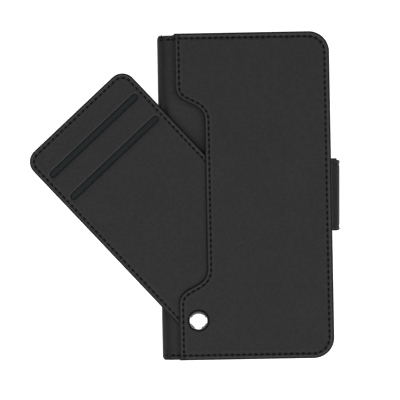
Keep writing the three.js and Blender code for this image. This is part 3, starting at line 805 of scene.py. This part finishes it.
frontBase = sewnSheet(
    "frontBase", baseRing, topEdge(baseTop) + underEdge(baseTop, boardUnder), blackLeather,
    seams=(coverSeam,), relief=creaseRelief, flush=creaseFlush,
    holes=[plainHole(circleRing(rivetPlace, rivetHole), baseTop, boardUnder)]
)
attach(frontBase, "front_cover")
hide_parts("front_cover_skin")
lowReach, highReach = (0, panelReach[0]), (panelReach[1], coverSeam["run"][-1])
shifted = {**coverSeam, "points": coverSeam["points"] - [0, baseLook["edgeDip"]]}
threadPiece("baseLowStitches", "front_cover", {**coverSeam, "reach": lowReach}, baseTop - threadDrop)
threadPiece("baseHighStitches", "front_cover", {**shifted, "reach": highReach}, baseTop - threadDrop)
print("front base sewn")

# The spine: leather carried round both rounded folds, in two lengths that meet half way down

spineLook = {"leather": 0.8 * mm, "fold": 2.2 * mm, "endRound": 2.3 * mm}
spineMiddle = (spineLow[2] + spineHigh[2]) / 2


def foldSection(zTop, zMiddle):
    # outer line of the wrap as (x, z): a quarter circle over the fold less depth hill(x - crease), then
    # straight down the spine
    fold = spineLook["fold"]
    flat = np.linspace(creaseX, coverLeft + fold, 11)[:-1]
    angle = np.linspace(0, quarter, 17)
    x = np.concatenate([flat, coverLeft + fold - fold * np.sin(angle)])
    z = np.concatenate([np.full(10, zTop), zTop - fold * (1 - np.cos(angle))])
    z -= creaseLook["depth"] * hill(x, creaseX, creaseLook["width"])
    wallZ = np.linspace(zTop - fold, zMiddle, 12)[1:]
    return np.column_stack([np.concatenate([x, np.full(11, coverLeft)]), np.concatenate([z, wallZ])])


def wrapMesh(name, outer, downward, back):
    # the closed section (outer line, then the same line set in by the leather's thickness) is carried along
    # Y; near both ends it draws in by r (1 - sqrt(1 - k^2)) so that the turned edge is round
    slope = np.gradient(outer, axis=0)
    slope /= np.linalg.norm(slope, axis=1, keepdims=True)
    inward = np.column_stack([-slope[:, 1], slope[:, 0]]) * (-1 if downward else 1)
    inner = outer + inward * spineLook["leather"]
    radius = spineLook["endRound"]
    middle = np.linspace(coverFront + radius, back - radius, 160)
    k = np.sin(np.linspace(quarter, 0, 12))[:-1]
    along = np.concatenate([coverFront + radius * (1 - k), middle, (back - radius * (1 - k))[::-1]])
    draw = np.concatenate([k, np.zeros(160), k[::-1]])
    draw = radius * 0.62 * (1 - np.sqrt(1 - np.minimum(draw, 0.999) ** 2))
    section = np.vstack([outer, inner[::-1]])
    pull = np.vstack([inward, inward[::-1] * 0.4])
    rows = section[None] + pull[None] * draw[:, None, None]
    count, size = rows.shape[:2]
    alongY = np.broadcast_to(along[:, None], (count, size))
    vertices = np.stack([rows[..., 0], alongY, rows[..., 1]], axis=-1)
    faces, ends = carriedFaces(count, size)
    if not downward:
        faces, ends = faces[:, ::-1], [end[::-1] for end in ends]
    # painted shade along the crease, and at the drawn-in ends a dark mark that is edge paint with painted
    # shade
    deep = creaseLook["dark"] * hill(outer[:, 0], creaseX, creaseLook["darkWidth"])
    pitShade = np.tile(np.concatenate([deep, np.zeros(len(inner))]), count)
    endPaintAndShade = np.repeat(smooth(draw, 0.12 * mm, 0.6 * mm), size)
    shades = {"pitShade": pitShade, "edgePaintAndShade": endPaintAndShade}
    return makePiece(name, vertices.reshape(-1, 3), faces.tolist() + ends, blackLeather, shades, sharp=60)


upperLine = foldSection(baseTop, spineMiddle)
spineWrapUpper = wrapMesh("spineWrapUpper", upperLine, False, coverBack - baseLook["edgeDip"])
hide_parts("spine_skin")
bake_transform(spineWrapUpper)

# the covers' stitching runs on over the spine's two ends
lineNumber = np.arange(len(upperLine))
atEnds = np.interp([0.2 * mm, 2.0 * mm], creaseX - upperLine[:, 0], lineNumber)
spots = pointsAt(atEnds, lineNumber, upperLine)
endLines = {"Low": coverFront + sewing["line"], "High": coverBack - sewing["line"] - baseLook["edgeDip"]}
for endName, endY in endLines.items():
    ends = np.array([[[x, endY, z] for x, z in spots]])
    foldStitch = stitchRow("spineStitch" + endName, ends, np.array([[0.0, 0.0, 1.0]]), blackThread)
    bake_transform(foldStitch)
lowerLine = foldSection(-backLow[2], -spineMiddle) * [1, -1]
spineWrapLower = wrapMesh("spineWrapLower", lowerLine, True, coverBack)
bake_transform(spineWrapLower)
print("spine wrapped")

# The back cover's leather, and the cloth linings of both covers and the spine

window = {"left": 3.3 * mm, "right": 30.3 * mm, "front": 33 * mm, "back": 68 * mm, "radius": 6 * mm}
backTop, backUnder = -backLow[2], -backLiningLow[2]
backRadii = [0.5 * mm, cornerRadius, cornerRadius, 0.5 * mm]
backRing = roundedRing(creaseX, coverRight, coverFront, coverBack, backRadii)


def windowRing(front, back):
    # the camera window
    return holeRing(window["left"], window["right"], front, back, window["radius"], 24)


windowLip = [(1.6, 0), (0.9, 0), (0.5, 0.03), (0.2, 0.14), (0.03, 0.34), (0, 0.6)]
windowEdge = [(grow * mm, backTop - drop * mm) for grow, drop in windowLip] + [(0, backUnder)]
backSkin = sewnSheet(
    "backSkin", backRing, topEdge(backTop) + underEdge(backTop, backUnder), blackLeather, seams=(coverSeam,),
    relief=creaseRelief, flush=creaseFlush, turn=turnOver,
    holes=[(windowRing(-window["back"], -window["front"]), windowEdge)]
)
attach(backSkin, "back_cover")
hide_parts("back_cover_skin")
threadPiece("backStitches", "back_cover", coverSeam, backTop - threadDrop, turn=turnOver)

liningLook = {"inset": 0.9 * mm, "radius": 9.1 * mm}
liningEdge = liningLook["inset"]
liningRing = roundedRing(
    creaseX + 0.2 * mm, coverRight - liningEdge, coverFront + liningEdge, coverBack - liningEdge,
    [0.4 * mm, liningLook["radius"], liningLook["radius"], 0.4 * mm]
)
liningRoll = [(3, 0), (2.2, 0), (1.7, 0), (1.3, 0), (1.0, 0), (0.7, 0), (0.35, 0.02), (0.12, 0.09), (0, 0.22)]


def liningProfile(top, under):
    # a thin cloth sheet with a folded edge
    rolled = [(inset * mm, top - drop * mm) for inset, drop in liningRoll]
    return rolled + [(0, under + 0.05 * mm), (0.1 * mm, under), (3 * mm, under)]


liningSeam = makeSeam(liningRing(1.5 * mm), closed=True)
frontLining = sewnSheet(
    "frontLining", liningRing, liningProfile(-frontLiningLow[2], -frontLiningHigh[2]), liningCloth,
    seams=(liningSeam,), turn=turnOver, edgePaintAndShadeWidth=0
)
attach(frontLining, "front_cover")
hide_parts("front_cover_lining")
threadPiece("frontLiningStitches", "front_cover", liningSeam, -frontLiningLow[2] - threadDrop, turn=turnOver)

liningTop = backLiningHigh[2]
liningHole = [(0.3 * mm, liningTop), (0, liningTop - 0.15 * mm), (0, backLiningLow[2])]
backLining = sewnSheet(
    "backLining", liningRing, liningProfile(liningTop, backLiningLow[2]), liningCloth, seams=(liningSeam,),
    holes=[(windowRing(window["front"], window["back"]), liningHole)], edgePaintAndShadeWidth=0
)
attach(backLining, "back_cover")
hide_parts("back_cover_lining")
print("covers lined")

# The card holder: two leather faces sewn edge to edge, swung out about the rivet

holderLook = {
    "left": -8.5 * mm, "right": 57.55 * mm, "front": -9.1 * mm, "back": 114.06 * mm, "nearRadius": 8.5 * mm,
    "farRadius": 7 * mm, "slots": (99.76 * mm, 85.16 * mm), "slotLeft": -4.2 * mm, "slotRight": 53.45 * mm,
    "slotWidth": 3.3 * mm, "line": 2.15 * mm,
}
holderTop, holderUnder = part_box("holder_face")[1][2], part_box("holder_back")[0][2]
holderMiddle = (holderTop + holderUnder) / 2
swing = math.radians(joints["card_holder_swing"]["range_deg"][1])
holderRing = roundedRing(
    *(holderLook[side] for side in ("left", "right", "front", "back")),
    [holderLook["nearRadius"], 2 * mm, holderLook["farRadius"], holderLook["farRadius"]], arcCount=30
)


def holderPlace(points):
    # turned about the rivet by the swing: x' = x cos a - y sin a, y' = x sin a + y cos a
    points = np.asarray(points, float)
    cos, sin = math.cos(swing), math.sin(swing)
    moved = points.copy()
    moved[:, 0] = points[:, 0] * cos - points[:, 1] * sin + rivetPlace[0]
    moved[:, 1] = points[:, 0] * sin + points[:, 1] * cos + rivetPlace[1]
    return moved


def slotRing(middle):
    low, high = holderLook["slotLeft"], holderLook["slotRight"]
    half = holderLook["slotWidth"] / 2
    return holeRing(low, high, middle - half, middle + half, half - 0.02 * mm, 12)


slotLip = [(0.7 * mm, 0.0), (0.45 * mm, 0.0), (0.25 * mm, 0.0), (0.06 * mm, -0.08), (0, -0.26), (0, -0.7)]
slotProfile = [(grow, holderTop + rise * mm) for grow, rise in slotLip]
holderSeam = makeSeam(holderRing(holderLook["line"]), closed=True)
cavityInset, leatherThick = 2.9 * mm, 0.7 * mm


def slotRelief(xy):
    # a soft raised rim round each slot, and a slight hollow on the side where the cards go in; a painted
    # highlight along the far rim and painted shade on the near side
    rise, lip, pitShade = np.zeros(len(xy)), np.zeros(len(xy)), np.zeros(len(xy))
    for middle in holderLook["slots"]:
        along = np.clip(xy[:, 0], holderLook["slotLeft"] + 1.6 * mm, holderLook["slotRight"] - 1.6 * mm)
        away = np.hypot(xy[:, 0] - along, xy[:, 1] - middle) - holderLook["slotWidth"] / 2
        far = smooth(xy[:, 1], middle - 1 * mm, middle + 1 * mm)
        rise += 0.12 * mm * hill(away, 0.35 * mm, 0.45 * mm) * (0.2 + 0.8 * far)
        rise -= 0.12 * mm * hill(away, 0.4 * mm, 1.2 * mm) * (1 - far)
        lip = np.maximum(lip, np.minimum(1.5 * hill(away, 0.1 * mm, 0.45 * mm), 1) * far)
        pitShade = np.maximum(pitShade, 0.35 * hill(away, 0.2 * mm, 0.8 * mm) * (1 - far))
    return rise, lip, pitShade


def holderProfile(top, middle):
    # out to the sewn edge, down to the middle, and in again to the hollow under the leather
    return topEdge(top) + [
        (0, top - 0.8 * mm), (0, middle + 0.16 * mm), (0.14 * mm, middle + 0.01 * mm),
        (cavityInset, middle + 0.01 * mm), (cavityInset + 0.01 * mm, top - leatherThick)
    ]


def eyeletHole(top):
    return plainHole(circleRing((0, 0), 3.5 * mm), top, top - leatherThick)


holderFace = sewnSheet(
    "holderFace", holderRing, holderProfile(holderTop, holderMiddle), blackLeather, seams=(holderSeam,),
    relief=slotRelief, turn=holderPlace,
    holes=[(slotRing(middle), slotProfile) for middle in holderLook["slots"]] + [eyeletHole(holderTop)]
)
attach(holderFace, "card_holder")
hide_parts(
    "holder_face", "holder_edge_left", "holder_edge_right", "holder_edge_top", "holder_foot"
)
threadPiece("holderStitches", "card_holder", holderSeam, holderTop - threadDrop, turn=holderPlace)


def holderBackRing(inset):
    # the same outline with Y reversed, walked the other way so that it stays anticlockwise
    return (holderRing(inset) * [1, -1])[::-1]


def holderBackPlace(points):
    return holderPlace(np.asarray(points) * [1, -1, -1])


holderBackSeam = makeSeam(holderBackRing(holderLook["line"]), closed=True)
holderBack = sewnSheet(
    "holderBack", holderBackRing, holderProfile(-holderUnder, -holderMiddle), blackLeather,
    seams=(holderBackSeam,), turn=holderBackPlace, holes=[eyeletHole(-holderUnder)]
)
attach(holderBack, "card_holder")
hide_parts("holder_back")
threadPiece(
    "holderBackStitches", "card_holder", holderBackSeam, -holderUnder - threadDrop, turn=holderBackPlace
)

# The cloth pockets behind the slots: each sheet swells a little into its slot and slopes away under the face

slotCloth = {"under": 0.75 * mm, "swell": 0.42 * mm, "slope": 0.06, "thickness": 0.25 * mm, "wave": 0.05 * mm}


def pocketSheet(name, nearY, slotY):
    # z = face underside + swell in the slot itself - slope away from it + a slow wave across
    margin = 3.2 * mm
    across = np.linspace(holderLook["left"] + margin, holderLook["right"] - margin, 100)
    along = np.linspace(nearY, slotY + margin, 60 if nearY < slotY - 30 * mm else 40)
    along = np.sort(np.concatenate([along, np.linspace(slotY - 2.6 * mm, slotY + 2.6 * mm, 21)]))
    x, y = np.meshgrid(across, along, indexing="ij")
    half = holderLook["slotWidth"] / 2
    inX = np.clip(x, holderLook["slotLeft"] + half, holderLook["slotRight"] - half)
    away = np.hypot(x - inX, y - slotY)
    swell = slotCloth["swell"] * (1 - smooth(away, 0.4 * half, 0.97 * half))
    fall = slotCloth["slope"] * np.clip(slotY - y, 0, 8 * mm)
    z = holderTop - slotCloth["under"] + swell - fall - 0.05 * mm
    ripple = np.sin(x * 260 + np.sin(y * 300)) * (0.5 + 0.5 * np.cos(x * 90))
    z = z + slotCloth["wave"] * ripple * (away < half)
    top = np.column_stack([x.ravel(), y.ravel(), z.ravel()])
    under = top - [0, 0, slotCloth["thickness"]]
    index = np.arange(x.size).reshape(x.shape)
    upper = np.stack([index[:-1, :-1], index[1:, :-1], index[1:, 1:], index[:-1, 1:]], axis=-1).reshape(-1, 4)
    rim = np.concatenate([index[:-1, 0], index[-1, :-1], index[:0:-1, -1], index[0, :0:-1]])
    sides = np.column_stack([rim, rim + x.size, np.roll(rim, -1) + x.size, np.roll(rim, -1)])
    faces = np.vstack([upper, upper[:, ::-1] + x.size, sides])
    piece = makePiece(name, holderPlace(np.vstack([top, under])), faces.tolist(), pocketCloth)
    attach(piece, "card_holder")
    return piece


farSlot, nearSlot = holderLook["slots"]
pocketSheet("pocketClothFar", nearSlot + 5 * mm, farSlot)
pocketNear = pocketSheet("pocketClothNear", 12 * mm, nearSlot)
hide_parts("holder_divider")
print("card holder sewn")

# The rivet's cap: a turned dome, radius against height

rivetLook = {"radius": 4.6 * mm, "flange": 0.35 * mm, "fullness": 1.7}
rivetSize = rivetHigh[2] - rivetLow[2]


def turned(name, profile, material, centre, sides=96):
    # (radius, height) pairs from the top of the axis to its foot, carried round the axis
    profile = np.asarray(profile, float)
    angle = 2 * np.pi * np.arange(sides) / sides
    ringRows = profile[1:-1]
    x = centre[0] + ringRows[:, :1] * np.cos(angle)
    y = centre[1] + ringRows[:, :1] * np.sin(angle)
    z = np.broadcast_to(ringRows[:, 1:], x.shape)
    poles = [[centre[0], centre[1], profile[0, 1]], [centre[0], centre[1], profile[-1, 1]]]
    vertices = np.vstack([np.stack([x, y, z], axis=-1).reshape(-1, 3), poles])
    index = np.arange(x.size).reshape(x.shape)
    faces = np.vstack([quadsBetween(index[k + 1], index[k]) for k in range(len(ringRows) - 1)]).tolist()
    faces += [[a, b, x.size] for a, b in zip(index[0].tolist(), np.roll(index[0], -1).tolist())]
    faces += [[b, a, x.size + 1] for a, b in zip(index[-1].tolist(), np.roll(index[-1], -1).tolist())]
    return makePiece(name, vertices, faces, material, sharp=35)


# radius r sin(a)^0.9, drop h (1 - cos a)^fullness
theta = np.linspace(0, 1, 22) * quarter
domeHeight = rivetHigh[2] - (rivetSize - rivetLook["flange"]) * (1 - np.cos(theta)) ** rivetLook["fullness"]
dome = np.column_stack([rivetLook["radius"] * np.sin(theta) ** 0.9, domeHeight])
footZ = rivetLow[2] + 0.02 * mm
foot = [
    (rivetLook["radius"], footZ + 0.1 * mm), (rivetLook["radius"] - 0.1 * mm, footZ), (0, footZ)
]
rivetDome = turned("rivetDome", np.vstack([dome, foot]), polishedSteel, rivetPlace)
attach(rivetDome, "front_cover")
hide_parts("rivet_cap")
print("rivet turned")

# The strap: leather, carried along its path in X and Z, in two lengths

# the last two set a painted highlight along the fold by the cover's edge and painted shade on the outer bend
strapLook = {
    "half": 17.5 * mm, "thick": 1.2 * mm, "bendX": 42.2 * mm, "upperZ": 7.4 * mm, "lowerZ": -1.7 * mm,
    "inner": 2.0 * mm, "tip": 11.4 * mm, "tongueExtra": 1.0 * mm, "tipRadius": 6 * mm, "line": 2.0 * mm,
    "bow": 0.15 * mm, "taper": 0.5 * mm, "lean": 0.018, "drop": 0.45 * mm, "foldPaintedHighlight": 0.8, "bendPaintedShade": 0.25,
}
strapMiddleZ = (strapLook["upperZ"] + strapLook["lowerZ"]) / 2


def strapBendPath(centreZ, startAngle, endAngle, count=17):
    # points of the strap's inner face on one bend, with the outward normal
    angle = np.radians(np.linspace(startAngle, endAngle, count))
    normal = np.column_stack([np.cos(angle), np.sin(angle)])
    return np.array([strapLook["bendX"], centreZ]) + strapLook["inner"] * normal, normal


def strapShare(x):
    # 0 at the cover's edge, 1 at the outermost line
    return np.clip((x - coverRight) / (strapLook["bendX"] + strapLook["inner"] - coverRight), 0, 1)


def strapLean(points):
    # past the cover's edge: x + lean y share, y - drop share
    share = strapShare(points[..., 0])
    moved = points.copy()
    moved[..., 0] += strapLook["lean"] * points[..., 1] * share
    moved[..., 1] -= strapLook["drop"] * share
    return moved


def strapMesh(name, path, normal, thick, halfWidth):
    # section: outer face with its sewn groove, rounded edge, inner face; carried along the path
    edge = np.array([0, 0.12, 0.3, 0.6, 0.9, 1.2, 1.5, 1.75, 2.0, 2.25, 2.5, 2.8, 3.2, 3.8, 5, 8, 12]) * mm
    run = runLength(path)
    count = max(2, round(run[-1] / stitch["pitch"]))
    spacing = run[-1] / count
    wave = 0.5 - 0.5 * np.cos(2 * np.pi * run / spacing)
    drop = 0.3 * mm * np.sqrt(np.clip(1 - (edge / (0.5 * mm)).clip(0, 1), 0, 1))
    near = hill(edge, strapLook["line"], sewing["grooveWidth"])
    base = sewing["lip"] * hill(edge, 0.9 * mm, 0.5 * mm) - drop - sewing["groove"] * near
    lift = base[None] - sewing["dimple"] * near[None] * wave[:, None]
    across = halfWidth[:, None] - edge[None]
    y = np.concatenate([-across, across[:, ::-1]], axis=1)
    lift = np.concatenate([lift, lift[:, ::-1]], axis=1)
    outward = thick[:, None] + lift
    outer = path[:, None] + normal[:, None] * outward[..., None]
    yInner = np.concatenate([across[:, ::6], -across[:, ::-6]], axis=1)
    innerLift = np.full(yInner.shape[1], 0.0)
    innerLift[[0, -1]] = 0.25 * mm
    inner = path[:, None] + normal[:, None] * innerLift[None, :, None]
    x = np.concatenate([outer[..., 0], inner[..., 0]], axis=1)
    z = np.concatenate([outer[..., 1], inner[..., 1]], axis=1)
    allY = np.concatenate([y, yInner], axis=1)
    vertices = strapLean(np.stack([x, allY, z], axis=-1))
    faces, ends = carriedFaces(*allY.shape)
    # painted highlight on the lips by the edges and along the fold by the cover; painted shade in the stitch
    # grooves and on the outer bend; a dark edge that is edge paint with painted shade
    lipRow = hill(edge, 0.95 * mm, 0.5 * mm)
    pitShadeRow = near[None] * (0.3 + 0.6 * wave[:, None])
    lip = np.broadcast_to(np.concatenate([lipRow, lipRow[::-1], np.zeros(yInner.shape[1])]), allY.shape)
    lip = np.maximum(lip, strapLook["foldPaintedHighlight"] * hill(x, coverRight + 0.6 * mm, 0.4 * mm))
    pitShade = np.concatenate([pitShadeRow, pitShadeRow[:, ::-1], np.zeros(yInner.shape)], axis=1)
    bendShade = strapLook["bendPaintedShade"] * hill(x, coverRight + 2.4 * mm, 1.2 * mm)
    pitShade = np.maximum(pitShade, bendShade * (z > strapMiddleZ))
    paintAndShadeRow = np.concatenate([(edge < 0.2 * mm), (edge < 0.2 * mm)[::-1], np.zeros(yInner.shape[1])])
    edgePaintAndShade = np.broadcast_to(paintAndShadeRow.astype(float), allY.shape)
    shades = {"lip": (lip * (1 - pitShade)).ravel(), "pitShade": pitShade.ravel(), "edgePaintAndShade": edgePaintAndShade.ravel()}
    piece = makePiece(name, vertices.reshape(-1, 3), faces.tolist() + ends, blackLeather, shades)
    middles = spacing * (np.arange(count) + 0.5)
    sewn = path + normal * (thick - threadDrop)[:, None]
    lumps = []
    for side in (-1, 1):
        pair = []
        for offset in (-stitch["length"] / 2, stitch["length"] / 2):
            at = np.clip(middles + offset, 0, run[-1])
            lineY = side * (np.interp(at, run, halfWidth) - strapLook["line"])
            pair.append(np.insert(pointsAt(at, run, sewn), 1, lineY, axis=1))
        lumps.append(np.stack(pair, axis=1))
    ups = np.insert(pointsAt(middles, run, normal), 1, 0, axis=1)
    thread = stitchRow(name + "Stitches", strapLean(np.vstack(lumps)), np.vstack([ups, ups]), blackThread)
    return piece, thread


def strapLength(path, normal):
    # the path at even steps, with x grown by bow share^0.7, and its normals
    path, normal = np.vstack(path), np.vstack(normal)
    run = runLength(path)
    at = np.linspace(0, run[-1], max(3, int(run[-1] / (0.35 * mm))))
    points, turns = pointsAt(at, run, path), pointsAt(at, run, normal)
    points[:, 0] += strapLook["bow"] * strapShare(points[:, 0]) ** 0.7
    return points, turns / np.linalg.norm(turns, axis=1, keepdims=True)


def strapTaper(path):
    return strapLook["taper"] * smooth(path[:, 0], coverRight + 0.6 * mm, strapOuterX)


strapOuterX = 45 * mm
bendTop, normalTop = strapBendPath(strapLook["upperZ"], 90, 0)
bendLow, normalLow = strapBendPath(strapLook["lowerZ"], 0, -90)
rootZ = strapLook["upperZ"] + strapLook["inner"]
tongueZ = strapLook["lowerZ"] - strapLook["inner"]
sideMiddle = [[bendTop[-1, 0], strapMiddleZ]]
upperPath, upperNormal = strapLength(
    [[[coverRight - 0.2 * mm, rootZ]], bendTop, sideMiddle], [[[0, 1]], normalTop, [[1, 0]]]
)
lowerPath, lowerNormal = strapLength(
    [sideMiddle, bendLow, [[strapLook["tip"] + 0.05 * mm, tongueZ]]], [[[1, 0]], normalLow, [[0, -1]]]
)
upperThick = np.full(len(upperPath), strapLook["thick"])
upperHalf = strapLook["half"] - strapTaper(upperPath)
strapUpper, strapUpperThread = strapMesh("strapUpper", upperPath, upperNormal, upperThick, upperHalf)
# the tongue thickens past the bend, and its tip is rounded: half width - r (1 - sqrt(1 - (1 - k)^2))
onTongue = smooth(-lowerPath[:, 0], -strapLook["bendX"], -strapLook["bendX"] + 4 * mm)
lowerThick = strapLook["thick"] + strapLook["tongueExtra"] * onTongue
fromTip = np.clip((lowerPath[:, 0] - strapLook["tip"]) / strapLook["tipRadius"], 0.0, 1)
lowerHalf = strapLook["half"] - strapLook["tipRadius"] * (1 - np.sqrt(1 - (1 - fromTip) ** 2))
lowerHalf = lowerHalf - strapTaper(lowerPath)
strapLower, strapLowerThread = strapMesh("strapLower", lowerPath, lowerNormal, lowerThick, lowerHalf)
for piece in (strapUpper, strapUpperThread):
    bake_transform(piece)
for piece in (strapLower, strapLowerThread):
    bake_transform(piece)
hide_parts("strap_side_skin", "strap_side_lining")
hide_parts("strap_tongue_skin", "strap_tongue_lining")
print("strap carried round")

# Floor, light and camera

stageLook = {
    "tilt": -1.05, "centre": (-22.39 * mm, -1.62 * mm), "wide": 193.9 * mm, "away": 1.2, "sensor": 36,
    "floorHalf": 0.9,
}
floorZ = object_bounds()[0][2] - 0.2 * mm
floorMaterial, floorTree, floorShader, _ = newMaterial("pale_floor")
setInputs(floorTree, floorShader, {
    "Base Color": grey(0.9), "Roughness": 0.9, "Emission Color": grey(1), "Emission Strength": 1.0
})
half = stageLook["floorHalf"]
floorCorners = [(x * half, y * half, floorZ) for x, y in ((-1, -1), (1, -1), (1, 1), (-1, 1))]
floorPlane = makePiece("floor", floorCorners, [[0, 1, 2, 3]], floorMaterial)


def areaLight(name, place, size, power):
    light = bpy.data.lights.new(name, "AREA")
    light.shape = "RECTANGLE"
    light.size, light.size_y = size
    light.energy = power
    lamp = bpy.data.objects.new(name, light)
    lamp.location = place
    lamp.rotation_euler = (-Vector(place)).to_track_quat("-Z", "Y").to_euler()
    bpy.context.scene.collection.objects.link(lamp)


lightLook = {"top": 11.0, "sides": 2.8, "sideSize": (0.8, 0.8), "room": 0.115}  # watts, metres
areaLight("topSoft", (0, -0.12, 1.45), (1.9, 1.5), lightLook["top"])
for lightName, lightPlace in (
    ("leftSoft", (-1.0, -0.1, 0.75)), ("rightSoft", (1.0, -0.1, 0.75)), ("nearSoft", (-0.1, -1.0, 0.75))
):
    areaLight(lightName, lightPlace, lightLook["sideSize"], lightLook["sides"])

world = bpy.data.worlds.new("studio")
bpy.context.scene.world = world
world.use_nodes = True
room = world.node_tree.nodes["Background"]
setInputs(world.node_tree, room, {"Color": grey(1), "Strength": lightLook["room"]})

camera = bpy.data.cameras.new("camera")
camera.sensor_width = stageLook["sensor"]
camera.clip_start = 0.01
camera.lens = stageLook["sensor"] * stageLook["away"] / stageLook["wide"]
viewer = bpy.data.objects.new("camera", camera)
viewer.location = (*stageLook["centre"], baseTop + stageLook["away"])
viewer.rotation_euler = (0, 0, math.radians(stageLook["tilt"]))
bpy.context.scene.collection.objects.link(viewer)
bpy.context.scene.camera = viewer
bpy.context.scene.view_settings.view_transform = "Standard"
